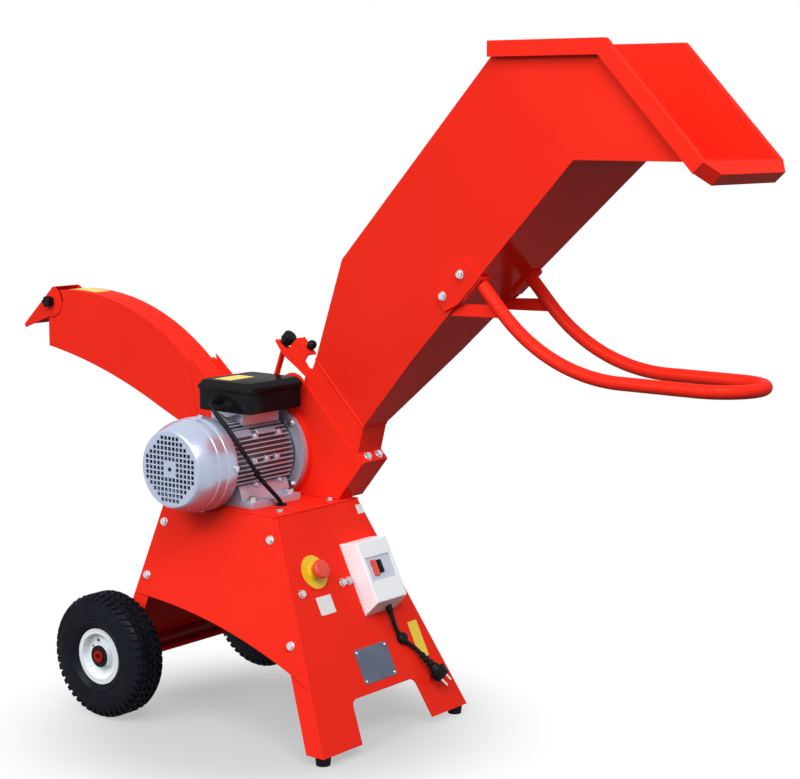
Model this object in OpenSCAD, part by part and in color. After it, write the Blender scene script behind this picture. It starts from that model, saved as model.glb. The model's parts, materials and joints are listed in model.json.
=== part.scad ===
/* [Stand] */
// Height of the top plate's upper face above the floor
plate_top = 449; // [430:1:470]
// Thickness of the top plate
plate_t = 3; // [2:0.5:5]
// Thickness of the folded stand panels
sheet = 2.5; // [2:0.5:3]
// Half width of the stand between its side panels, at the top plate
top_half_w = 129; // [122:1:136]
// Sideways lean of the side panels, degrees from upright
side_lean = 13.7; // [12:0.1:15]
// Lean of the front panel, degrees from upright
front_lean = 26.3; // [24:0.1:28]
// Lean of the rear panel, degrees from upright
rear_lean = 12.8; // [11:0.1:14]
// Distance from the motor shaft forward to the front panel's top edge
front_top_x = 188; // [182:1:196]
// Distance from the motor shaft back to the rear panel's top edge
rear_top_x = 123; // [118:1:130]
// Width of the panels' folded edges
fold_w = 40; // [36:1:48]
// Height of the rear panel's lower edge above the floor
rear_low_z = 108; // [104:1:112]
// Width of the arch between the front legs at its top
arch_top_w = 204; // [180:1:220]
// Width of the arch between the front legs at the floor end
arch_foot_w = 240; // [225:1:260]
// Distance down the front panel to the top of the arch
arch_s = 389; // [380:1:400]
// Height of the side panels' lower edge at the rear
side_rear_z = 250; // [235:1:270]
// Height of the side panels' lower edge at the front
side_front_z = 141; // [125:1:160]
// Height of the rubber feet
foot_h = 18; // [14:1:22]
// Diameter of the rubber feet
foot_d = 32; // [28:1:36]
// Diameter of the stand bolts
stand_bolt_d = 8; // [6:1:10]

/* [Wheels] */
// Diameter of the tyres
tyre_d = 260; // [254:1:266]
// Width of the tyres
tyre_w = 80; // [70:1:84]
// Diameter of the steel rims
rim_d = 101; // [96:1:106]
// Width of the steel rims
rim_w = 60; // [54:1:64]
// Distance of each wheel's middle from the centre plane
wheel_y = 243.5; // [242:0.5:250]
// Distance of the axle behind the motor shaft
axle_x = 178; // [176:1:180]
// Outer diameter of the axle tube
axle_d = 25; // [22:1:27]
// Diameter of the hole in the axle ends
axle_hole_d = 12; // [8:1:14]
// Outer diameter of the hub bushes
hub_d = 45; // [40:1:50]

/* [Motor] */
// Height of the shaft above the top plate
shaft_h = 90; // [90:1:96]
// Radius of the motor frame's barrel
frame_r = 80; // [76:1:82]
// Height of the cooling fins
fin_h = 7; // [4:0.5:8]
// Thickness of the cooling fins
fin_t = 2.5; // [2:0.5:3.5]
// Length of the motor frame
frame_len = 194; // [185:1:205]
// Thickness of the drive end shield
shield_t = 16; // [14:1:20]
// Radius of the drive end flange
flange_r = 100; // [96:1:103]
// Thickness of the ring between motor and housing
ring_t = 12; // [8:1:16]
// Radius of the ring between motor and housing
ring_r = 104; // [102:1:106]
// Length of the fan cover
cover_len = 97; // [90:1:104]
// Outer radius of the fan cover
cover_r = 97; // [94:1:98]
// Radius of the fan cover's grille
grille_r = 74; // [68:1:78]
// Width of one square hole in the grille
grille_hole = 7.5; // [6:0.5:8.5]
// Distance from one grille hole to the next
grille_pitch = 10.5; // [10:0.5:12]
// Diameter of the motor shaft
shaft_d = 25; // [22:1:27]
// Length of shaft past the motor flange
shaft_out = 70; // [64:1:76]
// Half width of the motor feet
foot_half_x = 104; // [100:1:106]
// Length of the motor feet along the shaft
foot_len = 147; // [140:1:155]
// Length of the capacitor box across the shaft
cap_x = 146; // [136:1:150]
// Length of the capacitor box along the shaft
cap_y = 166; // [156:1:168]
// Height of the capacitor box below its lid
cap_h = 48; // [46:1:54]
// Height of the capacitor lid
cap_lid_h = 15; // [12:1:18]

/* [Cutting head] */
// Distance of the head's middle plane from the stand's centre plane
head_y = 123.4; // [120:0.2:126]
// Width of the housing along the shaft
housing_w = 82; // [78:1:86]
// Wall of the housing
housing_wall = 4; // [3:0.5:5]
// Gap between the knife tips and the housing
tip_gap = 5; // [4:0.5:6]
// Gap between the drum's ends and the housing
drum_end_gap = 2; // [1:0.5:3]
// Tilt of the infeed, degrees above level
hopper_tilt = 44.5; // [43:0.5:46]
// Distance from the shaft to the housing's infeed face
flange_n = 164.5; // [160:0.5:170]
// Upper edge of the infeed, across the feed direction
inlet_hi = 44.6; // [42:0.2:48]
// Lower edge of the housing's infeed face
inlet_lo = 172.5; // [170:0.5:176]
// Reach of the housing's skirt along the top plate
skirt_x = 172; // [166:1:176]
// Thickness of the knives
knife_t = 10; // [8:0.5:11]
// Diameter of the knife bolts
knife_bolt_d = 8; // [6:1:10]

/* [Hopper] */
// Thickness of the hopper sheet
hopper_t = 2; // [1.5:0.5:3]
// Width of the throat and of the hopper's lower end
throat_w = 77; // [74:1:80]
// Distance from the shaft to the weld between throat and hopper
throat_n = 219.5; // [214:0.5:226]
// Distance from the shaft to the hopper's first fold
fold_n = 445.5; // [435:0.5:456]
// Distance from the shaft to the hopper's mouth fold
mouth_n = 1009.5; // [1000:0.5:1020]
// Hopper width at its first fold
fold_hopper_w = 160; // [150:1:170]
// Hopper width at its mouth
mouth_w = 268; // [255:1:280]
// Lower wall of the hopper, across the feed direction
hopper_lo = 116.9; // [114:0.1:120]
// Upper wall of the hopper at the weld
throat_hi = 65.4; // [62:0.2:70]
// Upper wall of the hopper past its first fold
hopper_hi = 145; // [138:1:152]
// Length of the level tray at the mouth
tray_len = 273; // [260:1:285]
// Height of the mouth above its tray
mouth_h = 215; // [205:1:225]
// Length of the mouth's level top edge
mouth_top = 252; // [240:1:262]
// Width of the outward fold round the mouth
rim_out = 14; // [10:1:16]
// Depth of the folded rim
rim_deep = 29; // [24:1:34]
// Height of the lip at the front of the tray
lip_h = 29; // [24:1:34]

/* [Handle] */
// Diameter of the handle tube
handle_d = 26; // [24:1:28]
// Distance between the handle's legs, middle to middle
handle_span = 170; // [164:1:174]
// Distance from the shaft to the handle's legs, along the hopper
handle_n = 675; // [665:1:685]
// Length of the legs' straight upper ends
handle_start = 66; // [60:1:72]
// Bend radius where the legs turn level
handle_bend = 365; // [355:1:375]
// Length of the level part of the handle before its end bend
handle_level = 152; // [140:1:165]
// Thickness of the handle brackets
bracket_t = 4; // [3:0.5:5]

/* [Chute] */
// Thickness of the chute's sheet
chute_t = 2; // [1.5:0.5:3]
// Clearance of the chute in its socket
socket_gap = 0.4; // [0.3:0.1:0.8]
// Depth of the chute in its socket
socket_deep = 25; // [20:1:30]
// Distance from the shaft back to the chute's open end
chute_reach = 713; // [700:1:725]
// Height of the chute's open end above the shaft, at its top
chute_top_h = 297; // [290:1:304]
// Height of the chute's open end above the shaft, at its bottom
chute_low_h = 169; // [163:1:175]
// Rise of the chute's top above a straight line
chute_top_bow = 52; // [45:1:58]
// Rise of the chute's underside above a straight line
chute_low_bow = 13; // [8:1:18]
// Radius of the deflector's round cheeks
hood_r = 36; // [34:1:38]
// Reach of the deflector past its pivot
hood_reach = 94; // [86:1:102]
// Drop of the deflector's tip below its pivot
hood_drop = 59; // [54:1:64]
// Diameter of the deflector knob
hood_knob_d = 25; // [22:1:30]

/* [Controls] */
// Length of the switch box down the front panel
box_len = 156; // [150:1:162]
// Width of the switch box
box_w = 104; // [98:1:106]
// Depth of the switch box
box_deep = 42; // [38:1:46]
// Wall of the switch box
box_wall = 2.5; // [2:0.5:3]
// Travel of the stop and start buttons
button_travel = 4; // [3:0.5:5]
// Clearance round the buttons
button_gap = 0.4; // [0.3:0.1:0.6]
// Diameter of the yellow emergency disc
disc_d = 70; // [64:1:74]
// Diameter of the emergency button
mushroom_d = 40; // [36:1:44]
// Travel of the emergency button
emergency_travel = 5; // [4:0.5:6]
// Diameter of the mains cord
cord_d = 9; // [8:0.5:9.5]

/* [Hidden] */

$fn = 64;
// Overlap of cutting shapes past the faces that they cut
eps = 1;
// Radial gap of a running fit
run_gap = 0.05;
// Radial gap of a seated fit
seat_gap = 0.1;
// Radial gap of a bolt in its hole
bolt_gap = 0.3;

red = "firebrick";
black = [0.13, 0.13, 0.14];
zinc = "silver";

plate_bot = plate_top - plate_t;
axis_z = plate_top + shaft_h;

// Stand faces: where each leaning plane lies at height z, moved outward by off
function front_x(z, off = 0) = front_top_x + (plate_bot - z) * tan(front_lean) + off / cos(front_lean);
function rear_x(z, off = 0) = -rear_top_x - (plate_bot - z) * tan(rear_lean) - off / cos(rear_lean);
function side_y(z, off = 0) = top_half_w + (plate_bot - z) * tan(side_lean) + off / cos(side_lean);

// Points across the infeed, n along the feed and v across it, as x and height about the shaft
function tilt(n, v) =
  [n * cos(hopper_tilt) - v * sin(hopper_tilt), n * sin(hopper_tilt) + v * cos(hopper_tilt)];

function unit(a) = a / norm(a);
function left(a) = [-a[1], a[0]];
// Point p moved by e away from q
function past(p, q, e) = p + unit(p - q) * e;
// Corner p1 of an anticlockwise outline moved inward by d
function inset_corner(p0, p1, p2, d) =
  let (u = left(unit(p1 - p0)), w = left(unit(p2 - p1))) p1 + d * (u + w) / (1 + u * w);
function inset(pts, d) =
  let (c = len(pts))
  [for (i = [0 : c - 1]) inset_corner(pts[(i + c - 1) % c], pts[i], pts[(i + 1) % c], d)];
// Arc from p0 to p1 whose middle stands bow to the right of the chord, in steps equal parts
function bow_arc(p0, p1, bow, steps) =
  let (half = norm(p1 - p0) / 2, r = (half * half + bow * bow) / (2 * bow), a = asin(half / r))
  let (u = unit(p1 - p0), w = -left(u), mid = (p0 + p1) / 2)
  [for (i = [0 : steps]) let (t = -a + 2 * a * i / steps)
    mid + u * r * sin(t) + w * (r * cos(t) - r + bow)];

// Handle centreline about the shaft: the legs start just under the hopper and bend level
handle_lean = 47;
leg_gap = 7.5;
leg_end = tilt(handle_n, -hopper_lo - leg_gap);
bend_start = leg_end + handle_start * [cos(handle_lean), -sin(handle_lean)];
bend_mid = bend_start + handle_bend * [sin(handle_lean), cos(handle_lean)];
handle_end_x = bend_mid[0] + handle_level;

// Lowest and highest x of the machine, for an origin under its middle
hood_pivot = [-chute_reach + 11.4, chute_top_h - 23.4];
mid_x = (handle_end_x + handle_span / 2 + handle_d / 2 + hood_pivot[0] - hood_reach) / 2;

module placed() { translate([-mid_x, 0, 0]) children(); }
module about_shaft() { placed() translate([0, 0, axis_z]) children(); }
module tilt_frame() { about_shaft() rotate([0, -hopper_tilt, 0]) children(); }
// Front panel frame: x down the panel, y across, z out of it
module on_front() {
  placed() translate([front_top_x, 0, plate_bot]) rotate([0, 90 - front_lean, 0]) children();
}
// Near side panel frame: x forward, y down the panel, z out of it
module on_side(side) {
  mirror([0, side > 0 ? 1 : 0, 0])
    translate([0, -top_half_w, plate_bot]) rotate([-90 - side_lean, 0, 0]) mirror([0, 0, 1]) children();
}
// Outline in x and height, drawn from y0 to y1
module slab(y0, y1) { translate([0, y1, 0]) rotate([90, 0, 0]) linear_extrude(y1 - y0) children(); }
// Round bar along y
module rod(d, y0, y1) { translate([0, y0, 0]) rotate([-90, 0, 0]) cylinder(d = d, h = y1 - y0); }
// Profile of radius and y, turned about the y axis
module turned() { rotate([-90, 0, 0]) rotate_extrude() children(); }
module ring(d_out, d_in, h) {
  difference() {
    cylinder(d = d_out, h = h);
    translate([0, 0, -eps]) cylinder(d = d_in, h = h + 2 * eps);
  }
}
// Hex bolt with washer: head above z 0, shank down through grip, nut below it
module bolt(d, grip, nut = true) {
  cylinder(d = 2.2 * d, h = 0.2 * d);
  translate([0, 0, 0.2 * d]) cylinder(d = 1.9 * d, h = 0.65 * d, $fn = 6);
  translate([0, 0, -grip - (nut ? 1.1 * d : 0)]) cylinder(d = d, h = grip + (nut ? 1.1 * d : 0) + 0.1 * d);
  if (nut) translate([0, 0, -grip - 0.8 * d]) cylinder(d = 1.9 * d, h = 0.8 * d, $fn = 6);
}
// Rectangle [x0, x1, y0, y1] moved inward by d
function shrink(r, d) = [r[0] + d, r[1] - d, r[2] + d, r[3] - d];
// Block between a lower and an upper rectangle
module taper(low, high, z0, z1) {
  function corners(r, z) = [[r[0], r[2], z], [r[1], r[2], z], [r[1], r[3], z], [r[0], r[3], z]];
  polyhedron(concat(corners(low, z0), corners(high, z1)),
    [[0, 1, 2, 3], [4, 5, 1, 0], [7, 6, 5, 4], [5, 6, 2, 1], [6, 7, 3, 2], [7, 4, 0, 3]]);
}
// Solid inside the stand's four leaning planes, moved outward by off
module stand_block(off, z0, z1) {
  function level(z) = [rear_x(z, off), front_x(z, off), -side_y(z, off), side_y(z, off)];
  taper(level(z0), level(z1), z0, z1);
}
module stand_shell(out, in, z0, z1) {
  difference() {
    stand_block(out, z0, z1);
    stand_block(in, z0 - eps, z1 + eps);
  }
}
// Tube along points, with one ring of sides corners at each
module sweep(pts, d, ref, sides = 10) {
  c = len(pts);
  function tangent(i) = unit(pts[min(i + 1, c - 1)] - pts[max(i - 1, 0)]);
  rings = [for (i = [0 : c - 1])
    let (t = tangent(i), u = unit(cross(ref, t)), w = cross(t, u))
    for (k = [0 : sides - 1]) pts[i] + d / 2 * (u * cos(360 * k / sides) + w * sin(360 * k / sides))];
  walls = [for (i = [0 : c - 2]) for (k = [0 : sides - 1])
    let (a = i * sides + k, b = i * sides + (k + 1) % sides)
    for (f = [[a, a + sides, b + sides], [a, b + sides, b]]) f];
  caps = [[for (k = [0 : sides - 1]) k], [for (k = [sides - 1 : -1 : 0]) (c - 1) * sides + k]];
  polyhedron(rings, concat(walls, caps));
}

// Stand

// Heights of the side panels' bolts, and their distance from the folds
side_bolts_front = [403, 212];
side_bolts_rear = [402, 290];
bolt_inset = 22;
// Bolts through the top plate into the front panel's top fold
plate_bolt_x = front_top_x - 28;
plate_bolt_ys = [-86, 70];
cable_hole_d = 14;
cable_hole = [116.5, -32.5];
foot_spot = [front_x(foot_h) - foot_d / 2 - 2, side_y(foot_h) - foot_d / 2 - 4];
foot_neck_d = 10;
top_fold = 60;
// Bolts across the front panel, down from its top edge
panel_bolt_s = 160;
panel_bolt_ys = [-134, -8, 12, 140];
module panel_bolt_spots() { for (y = panel_bolt_ys) translate([panel_bolt_s, y, 0]) children(); }

module side_bolt_spots() {
  front = [for (z = side_bolts_front) [front_x(z) - bolt_inset / cos(front_lean), z]];
  rear = [for (z = side_bolts_rear) [rear_x(z) + bolt_inset / cos(rear_lean), z]];
  for (spot = concat(front, rear))
    translate([spot[0], (plate_bot - spot[1]) / cos(side_lean), 0]) children();
}
module side_bolt_holes() {
  for (side = [-1, 1]) on_side(side) side_bolt_spots()
    translate([0, 0, -20]) cylinder(d = stand_bolt_d + 2 * bolt_gap, h = 40);
}
// All that lies within the fold's width of the front or rear plane
module fold_zone(front) {
  z0 = foot_h - eps;
  z1 = plate_bot + eps;
  edge = front ? front_x(z0) - fold_w / cos(front_lean) : rear_x(z0) + fold_w / cos(rear_lean);
  top = front ? front_x(z1) - fold_w / cos(front_lean) : rear_x(z1) + fold_w / cos(rear_lean);
  out = front ? front_x(z0) + fold_w : rear_x(z0) - fold_w;
  slab(-2 * wheel_y, 2 * wheel_y) polygon([[edge, z0], [out, z0], [out, z1], [top, z1]]);
}

arch_corner_r = 15;
module leg_arch() {
  foot_s = (plate_bot - foot_h) / cos(front_lean);
  grow = (arch_foot_w - arch_top_w) / 2 / (foot_s - arch_s);
  low_w = arch_foot_w / 2 + grow * eps;
  inner_w = arch_top_w / 2 - arch_corner_r;
  on_front() translate([0, 0, -2 * fold_w]) linear_extrude(4 * fold_w) {
    polygon([[arch_s + arch_corner_r, -arch_top_w / 2], [foot_s + fold_w, -low_w],
      [foot_s + fold_w, low_w], [arch_s + arch_corner_r, arch_top_w / 2]]);
    translate([arch_s, -inner_w]) square([2 * arch_corner_r, 2 * inner_w]);
    for (y = [-inner_w, inner_w]) translate([arch_s + arch_corner_r, y]) circle(arch_corner_r);
  }
}
module front_panel() {
  tab_w = foot_d + 12;
  color(red) difference() {
    placed() difference() {
      union() {
        intersection() {
          stand_shell(0, -sheet, foot_h, plate_bot);
          fold_zone(true);
        }
        intersection() {
          stand_block(-sheet / 2, plate_bot - sheet, plate_bot);
          translate([front_top_x - top_fold, -top_half_w, 0])
            cube([2 * top_fold, 2 * top_half_w, plate_bot]);
        }
        for (side = [-1, 1]) intersection() {
          stand_block(-sheet / 2, foot_h, foot_h + sheet);
          translate([foot_spot[0] - tab_w / 2, side * foot_spot[1] - tab_w / 2, 0])
            cube([2 * tab_w, tab_w, plate_bot]);
        }
      }
      side_bolt_holes();
      plate_bolt_holes();
      for (side = [-1, 1]) translate([foot_spot[0], side * foot_spot[1], 0])
        cylinder(d = foot_neck_d + 2 * bolt_gap, h = foot_h + 2 * sheet);
    }
    leg_arch();
    on_front() {
      panel_bolt_spots() panel_hole(stand_bolt_d + 2 * bolt_gap);
      emergency_spot() panel_hole(collar_neck_d + 2 * bolt_gap);
      switch_cable_spot() panel_hole(cable_hole_d);
      box_screw_spots() panel_hole(box_screw_d + 2 * bolt_gap);
    }
  }
}
module panel_hole(d) { translate([0, 0, -fold_w]) cylinder(d = d, h = 2 * fold_w); }
module plate_bolt_holes() {
  for (y = plate_bolt_ys) translate([plate_bolt_x, y, plate_bot - 10])
    cylinder(d = stand_bolt_d + 2 * bolt_gap, h = 20);
}

bottom_fold = 45;
rear_top_fold = 22;
module rear_panel() {
  color(red) placed() difference() {
    union() {
      intersection() {
        stand_shell(0, -sheet, rear_low_z, plate_bot);
        fold_zone(false);
      }
      intersection() {
        stand_block(-sheet / 2, plate_bot - sheet, plate_bot);
        translate([-2 * rear_top_x, -top_half_w, 0])
          cube([rear_top_x + rear_top_fold, 2 * top_half_w, plate_bot]);
      }
      intersection() {
        stand_block(-sheet / 2, rear_low_z, rear_low_z + sheet);
        translate([rear_x(rear_low_z) - eps, -wheel_y, 0]) cube([bottom_fold, 2 * wheel_y, plate_bot]);
      }
    }
    side_bolt_holes();
    translate([-axle_x, 0, axle_z]) rod(axle_d + 2 * bolt_gap, -wheel_y, wheel_y);
  }
}

side_edge_gap = 6;
side_bow = 23;
module side_panel() {
  z1 = plate_bot - seat_gap;
  front_edge = [for (z = [side_front_z, z1]) [front_x(z) - side_edge_gap, z]];
  rear_edge = [for (z = [side_rear_z, z1]) [rear_x(z) + side_edge_gap / 2, z]];
  low_edge = bow_arc(front_edge[0], rear_edge[0], side_bow, 16);
  difference() {
    intersection() {
      stand_shell(sheet, 0, foot_h, z1);
      slab(-wheel_y, 0) polygon(concat(low_edge, [rear_edge[1], front_edge[1]]));
    }
    side_bolt_holes();
  }
}
module side_panel_near() { color(red) placed() side_panel(); }
module side_panel_far() { color(red) placed() mirror([0, 1, 0]) side_panel(); }

// The flange and its ring dip into a slot in the top plate
slot_gap = 2;
slot_x = sqrt(pow(ring_r + slot_gap, 2) - pow(shaft_h, 2)) + slot_gap;
module top_plate() {
  half_w = side_y(plate_bot, sheet);
  color(red) placed() difference() {
    translate([-rear_top_x, -half_w, plate_bot]) cube([rear_top_x + front_top_x, 2 * half_w, plate_t]);
    plate_bolt_holes();
    motor_foot_spots() translate([0, 0, -axis_z])
      cylinder(d = motor_bolt_d + 2 * bolt_gap, h = 2 * axis_z);
    translate([cable_hole[0], cable_hole[1], 0]) cylinder(d = cable_hole_d + 4, h = plate_top + eps);
    translate([-slot_x, flange_y - flange_t - slot_gap, 0])
      cube([2 * slot_x, flange_t + ring_t + slot_gap, plate_top + eps]);
  }
}
module stand_bolts() {
  color(zinc) placed() {
    for (side = [-1, 1]) on_side(side) side_bolt_spots()
      translate([0, 0, sheet]) bolt(stand_bolt_d, 2 * sheet);
    for (y = plate_bolt_ys) translate([plate_bolt_x, y, plate_top]) bolt(stand_bolt_d, plate_t + sheet);
  }
  color(zinc) on_front() {
    panel_bolt_spots() bolt(stand_bolt_d, sheet);
    box_screw_spots() translate([0, 0, -sheet]) rotate([180, 0, 0]) bolt_stub(box_screw_d, sheet + 16);
  }
}
module rubber_feet() {
  head_h = 4;
  color(black) placed() for (side = [-1, 1]) translate([foot_spot[0], side * foot_spot[1], 0]) {
    cylinder(d1 = foot_d - 4, d2 = foot_d, h = foot_h);
    cylinder(d = foot_neck_d, h = foot_h + sheet + head_h);
    translate([0, 0, foot_h + sheet]) cylinder(d1 = foot_neck_d + 6, d2 = foot_neck_d, h = head_h);
  }
}

// Running gear

axle_z = tyre_d / 2;
axle_end = wheel_y + rim_w / 2 + 2;
tyre_wall = 9;
rim_wall = 2.5;
rim_flange_h = 8;
module axle() {
  color(red) placed() translate([-axle_x, 0, axle_z]) difference() {
    rod(axle_d, -axle_end, axle_end);
    rod(axle_hole_d, -axle_end - eps, axle_end + eps);
  }
}
module at_wheel(side) { placed() translate([-axle_x, side * wheel_y, axle_z]) children(); }
// Half section of the tyre's outside, moved inward by d
module tyre_outline(d) {
  crown = tyre_d / 2 - d;
  half = tyre_w / 2 - d;
  bead = rim_w / 2 - 3 - d;
  seat = rim_d / 2 + seat_gap;
  flange = seat + rim_flange_h;
  belly = (flange + crown) / 2;
  side = [[seat, bead], [flange, bead], [flange + 8, half - 2], [belly, half], [crown - 8, half - 4],
    [crown, half - 16]];
  polygon(concat([for (p = side) [p[0], -p[1]]], [for (i = [len(side) - 1 : -1 : 0]) side[i]]));
}
module tyre() {
  color(black) turned() difference() {
    tyre_outline(0);
    difference() {
      tyre_outline(tyre_wall);
      square([rim_d / 2 + tyre_wall, tyre_w], center = true);
    }
  }
}
// Steel rim: a well between two flanges, a disc on its outer side and a tube for the hub
module rim(side) {
  half = rim_w / 2;
  r = rim_d / 2;
  well = 7;
  disc_y = 0.45 * half;
  window_d = 9;
  window_r = 0.9 * (hub_d / 2 + r) / 2;
  window_as = [118, 157];
  lip = rim_w / 2 - 3 + seat_gap;
  color("white") difference() {
    turned() {
      difference() {
        translate([r - well, -half]) square([well, rim_w]);
        translate([r - well - eps, -half - eps]) square([well + eps - rim_wall, rim_w + 2 * eps]);
      }
      for (y = [lip, -lip - rim_wall]) translate([r - rim_wall, y])
        square([rim_flange_h + rim_wall, rim_wall]);
      translate([hub_d / 2 + seat_gap, side * disc_y - rim_wall / 2])
        square([r - hub_d / 2 - seat_gap - rim_wall / 2, rim_wall]);
      translate([hub_d / 2 + seat_gap, -half + 4]) square([rim_wall, rim_w - 8]);
    }
    for (a = window_as) translate(window_r * [cos(a), 0, sin(a)]) rod(window_d, -rim_w, rim_w);
  }
}
module hub(side) {
  inner = wheel_y - side_y(axle_z - hub_d / 2) - 1;
  outer = rim_w / 2 - 1;
  color(black) difference() {
    rod(hub_d, side > 0 ? -inner : -outer, side > 0 ? outer : inner);
    rod(axle_d + 2 * run_gap, -wheel_y, wheel_y);
  }
}
module tyre_near() { at_wheel(-1) tyre(); }
module tyre_far() { at_wheel(1) tyre(); }
module rim_near() { at_wheel(-1) rim(-1); }
module rim_far() { at_wheel(1) rim(1); }
module hub_near() { at_wheel(-1) hub(-1); }
module hub_far() { at_wheel(1) hub(1); }

// Motor, along y: the head's middle plane sets the flange, and the rest follows back from it

house_y = head_y - housing_w / 2;
flange_y = house_y - ring_t;
frame_y1 = flange_y - shield_t;
frame_y0 = frame_y1 - frame_len;
cover_y = frame_y0 - cover_len;
frame_wall = 7;
bore_r = frame_r - frame_wall;
fin_count = 36;
// Angle of the lowest fins, just above the feet, and their distance from the flange
fin_low = -27;
fin_stop = 14;
bearing_d = 52;
bearing_w = 15;
bearing_seat = 7;
bearing_hub_r = bearing_d / 2 + 8;
core_r = 42;
air_gap = 0.5;
motor_bolt_d = 10;
foot_y1 = frame_y1 - 12;
foot_t = 14;
foot_bolt_x = foot_half_x - 16;
foot_bolt_edge = 16;
pad_top = frame_r + fin_h + 14;
cap_z = axis_z + pad_top;
cap_mid = [15, frame_y1 - 67];
cap_wall = 3;
cover_t = 2;
rear_shield_t = 12;
cover_screw_d = 6;
cover_screw_y = frame_y0 - rear_shield_t / 2;

module motor_foot_spots() {
  for (x = [-foot_bolt_x, foot_bolt_x])
    for (y = [foot_y1 - foot_len + foot_bolt_edge, foot_y1 - foot_bolt_edge])
      translate([x, y, plate_top + foot_t]) children();
}
// Barrel with fins all round except over the feet and under the capacitor box's pad
module motor_frame() {
  pad_x = 45;
  pad_y = 110;
  color("silver") about_shaft() difference() {
    union() {
      rod(2 * frame_r, frame_y0, frame_y1);
      slab(frame_y0, frame_y1 - fin_stop)
        for (i = [0 : fin_count - 1]) rotate(fin_low + (180 - 2 * fin_low) * i / (fin_count - 1))
          translate([frame_r - 1, -fin_t / 2]) square([fin_h + 1, fin_t]);
      translate([-pad_x, cap_mid[1] - pad_y / 2, 0]) cube([2 * pad_x, pad_y, pad_top]);
    }
    rod(2 * bore_r, frame_y0 - eps, frame_y1 + eps);
  }
}
// Two feet joined under the barrel, bolted to the top plate
module motor_foot() {
  saddle_x = 62;
  saddle_h = 52;
  color("silver") difference() {
    about_shaft() difference() {
      slab(foot_y1 - foot_len, foot_y1) polygon([[-foot_half_x, -shaft_h], [foot_half_x, -shaft_h],
        [foot_half_x, foot_t - shaft_h], [saddle_x + 14, foot_t - shaft_h],
        [saddle_x, saddle_h - shaft_h], [-saddle_x, saddle_h - shaft_h],
        [-saddle_x - 14, foot_t - shaft_h], [-foot_half_x, foot_t - shaft_h]]);
      rod(2 * (frame_r + seat_gap), frame_y0, frame_y1);
    }
    placed() motor_foot_spots() translate([0, 0, -axis_z])
      cylinder(d = motor_bolt_d + 2 * bolt_gap, h = 2 * axis_z);
  }
}
flange_bolt_d = 8;
flange_bolt_r = flange_r - flange_bolt_d;
module flange_bolt_spots() {
  for (a = [45 : 90 : 315])
    translate([flange_bolt_r * cos(a), flange_y - flange_t, flange_bolt_r * sin(a)]) children();
}
flange_t = 12;
module drive_shield() {
  color("silver") about_shaft() difference() {
    turned() {
      translate([0, frame_y1]) square([frame_r, shield_t]);
      translate([0, flange_y - flange_t]) square([flange_r, flange_t]);
      translate([0, frame_y1 - bearing_w + bearing_seat]) square([bearing_hub_r, bearing_w]);
    }
    rod(bearing_d + 2 * seat_gap, frame_y1 - bearing_w, frame_y1 + bearing_seat);
    rod(shaft_d + 4, frame_y1, flange_y + eps);
    flange_bolt_spots() rod(flange_bolt_d + 2 * bolt_gap, -eps, shield_t);
  }
}
module rear_shield() {
  color("silver") about_shaft() difference() {
    turned() {
      translate([0, frame_y0 - rear_shield_t]) square([cover_r - cover_t - seat_gap, rear_shield_t]);
      translate([0, frame_y0]) square([bearing_hub_r, bearing_w - bearing_seat]);
    }
    rod(bearing_d + 2 * seat_gap, frame_y0 - bearing_seat, frame_y0 + bearing_w);
    rod(shaft_d + 4, frame_y0 - rear_shield_t - eps, frame_y0);
    cover_screw_spots() translate([0, 0, -rear_shield_t])
      cylinder(d = cover_screw_d, h = 2 * rear_shield_t);
  }
}
// Radial screws that hold the fan cover on the rear shield
module cover_screw_spots() {
  for (a = [0 : 90 : 270]) rotate([0, a, 0]) translate([0, cover_screw_y, cover_r]) children();
}
// Profile of the cover's outside, moved inward by d
module cover_outline(d) {
  step_y = frame_y0 - 0.4 * cover_len;
  polygon([[0, cover_y + d], [grille_r - d / 2, cover_y + d], [grille_r + 2 - d, cover_y + 1.5 + d / 2],
    [cover_r - 6 - d, cover_y + 0.3 * cover_len], [cover_r - 4 - d, step_y], [cover_r - d, step_y + 4],
    [cover_r - d, frame_y0 + (d > 0 ? eps : 0)], [0, frame_y0 + (d > 0 ? eps : 0)]]);
}
module fan_cover() {
  plain_r = 16;
  steps = floor((grille_r - grille_hole) / grille_pitch);
  color("silver") about_shaft() difference() {
    turned() difference() {
      cover_outline(0);
      cover_outline(cover_t);
    }
    slab(cover_y - eps, cover_y + cover_t + eps)
      for (i = [-steps : steps]) for (k = [-steps : steps])
        let (spot = norm([i, k]) * grille_pitch)
        if (spot < grille_r - grille_hole && spot > plain_r)
          translate([i, k] * grille_pitch) square(grille_hole, center = true);
    cover_screw_spots() translate([0, 0, -rear_shield_t / 2])
      cylinder(d = cover_screw_d + 2 * bolt_gap, h = rear_shield_t);
  }
}
fan_y0 = cover_y + 16;
fan_y1 = frame_y0 - rear_shield_t - 6;
module fan() {
  hub_r = shaft_d / 2 + 9;
  blade_r = grille_r - 4;
  blades = 8;
  blade_t = 3;
  color("gray") about_shaft() difference() {
    union() {
      rod(2 * hub_r, fan_y0, fan_y1);
      rod(2 * blade_r, fan_y1 - blade_t, fan_y1);
      for (i = [0 : blades - 1]) rotate([0, 360 * i / blades, 0])
        translate([0, fan_y0 + 8, -blade_t / 2]) cube([blade_r, fan_y1 - fan_y0 - 8, blade_t]);
    }
    rod(shaft_d, fan_y0 - eps, fan_y1 + eps);
  }
}
core_y0 = frame_y0 + 45;
core_y1 = frame_y1 - 45;
module motor_shaft() {
  color("slategray") about_shaft() difference() {
    turned() {
      translate([0, fan_y0]) square([shaft_d / 2, flange_y + shaft_out - fan_y0]);
      translate([0, core_y0]) square([core_r, core_y1 - core_y0]);
    }
    rod(shaft_bolt_d, flange_y + shaft_out - shaft_bolt_len, flange_y + shaft_out + eps);
  }
}
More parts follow.
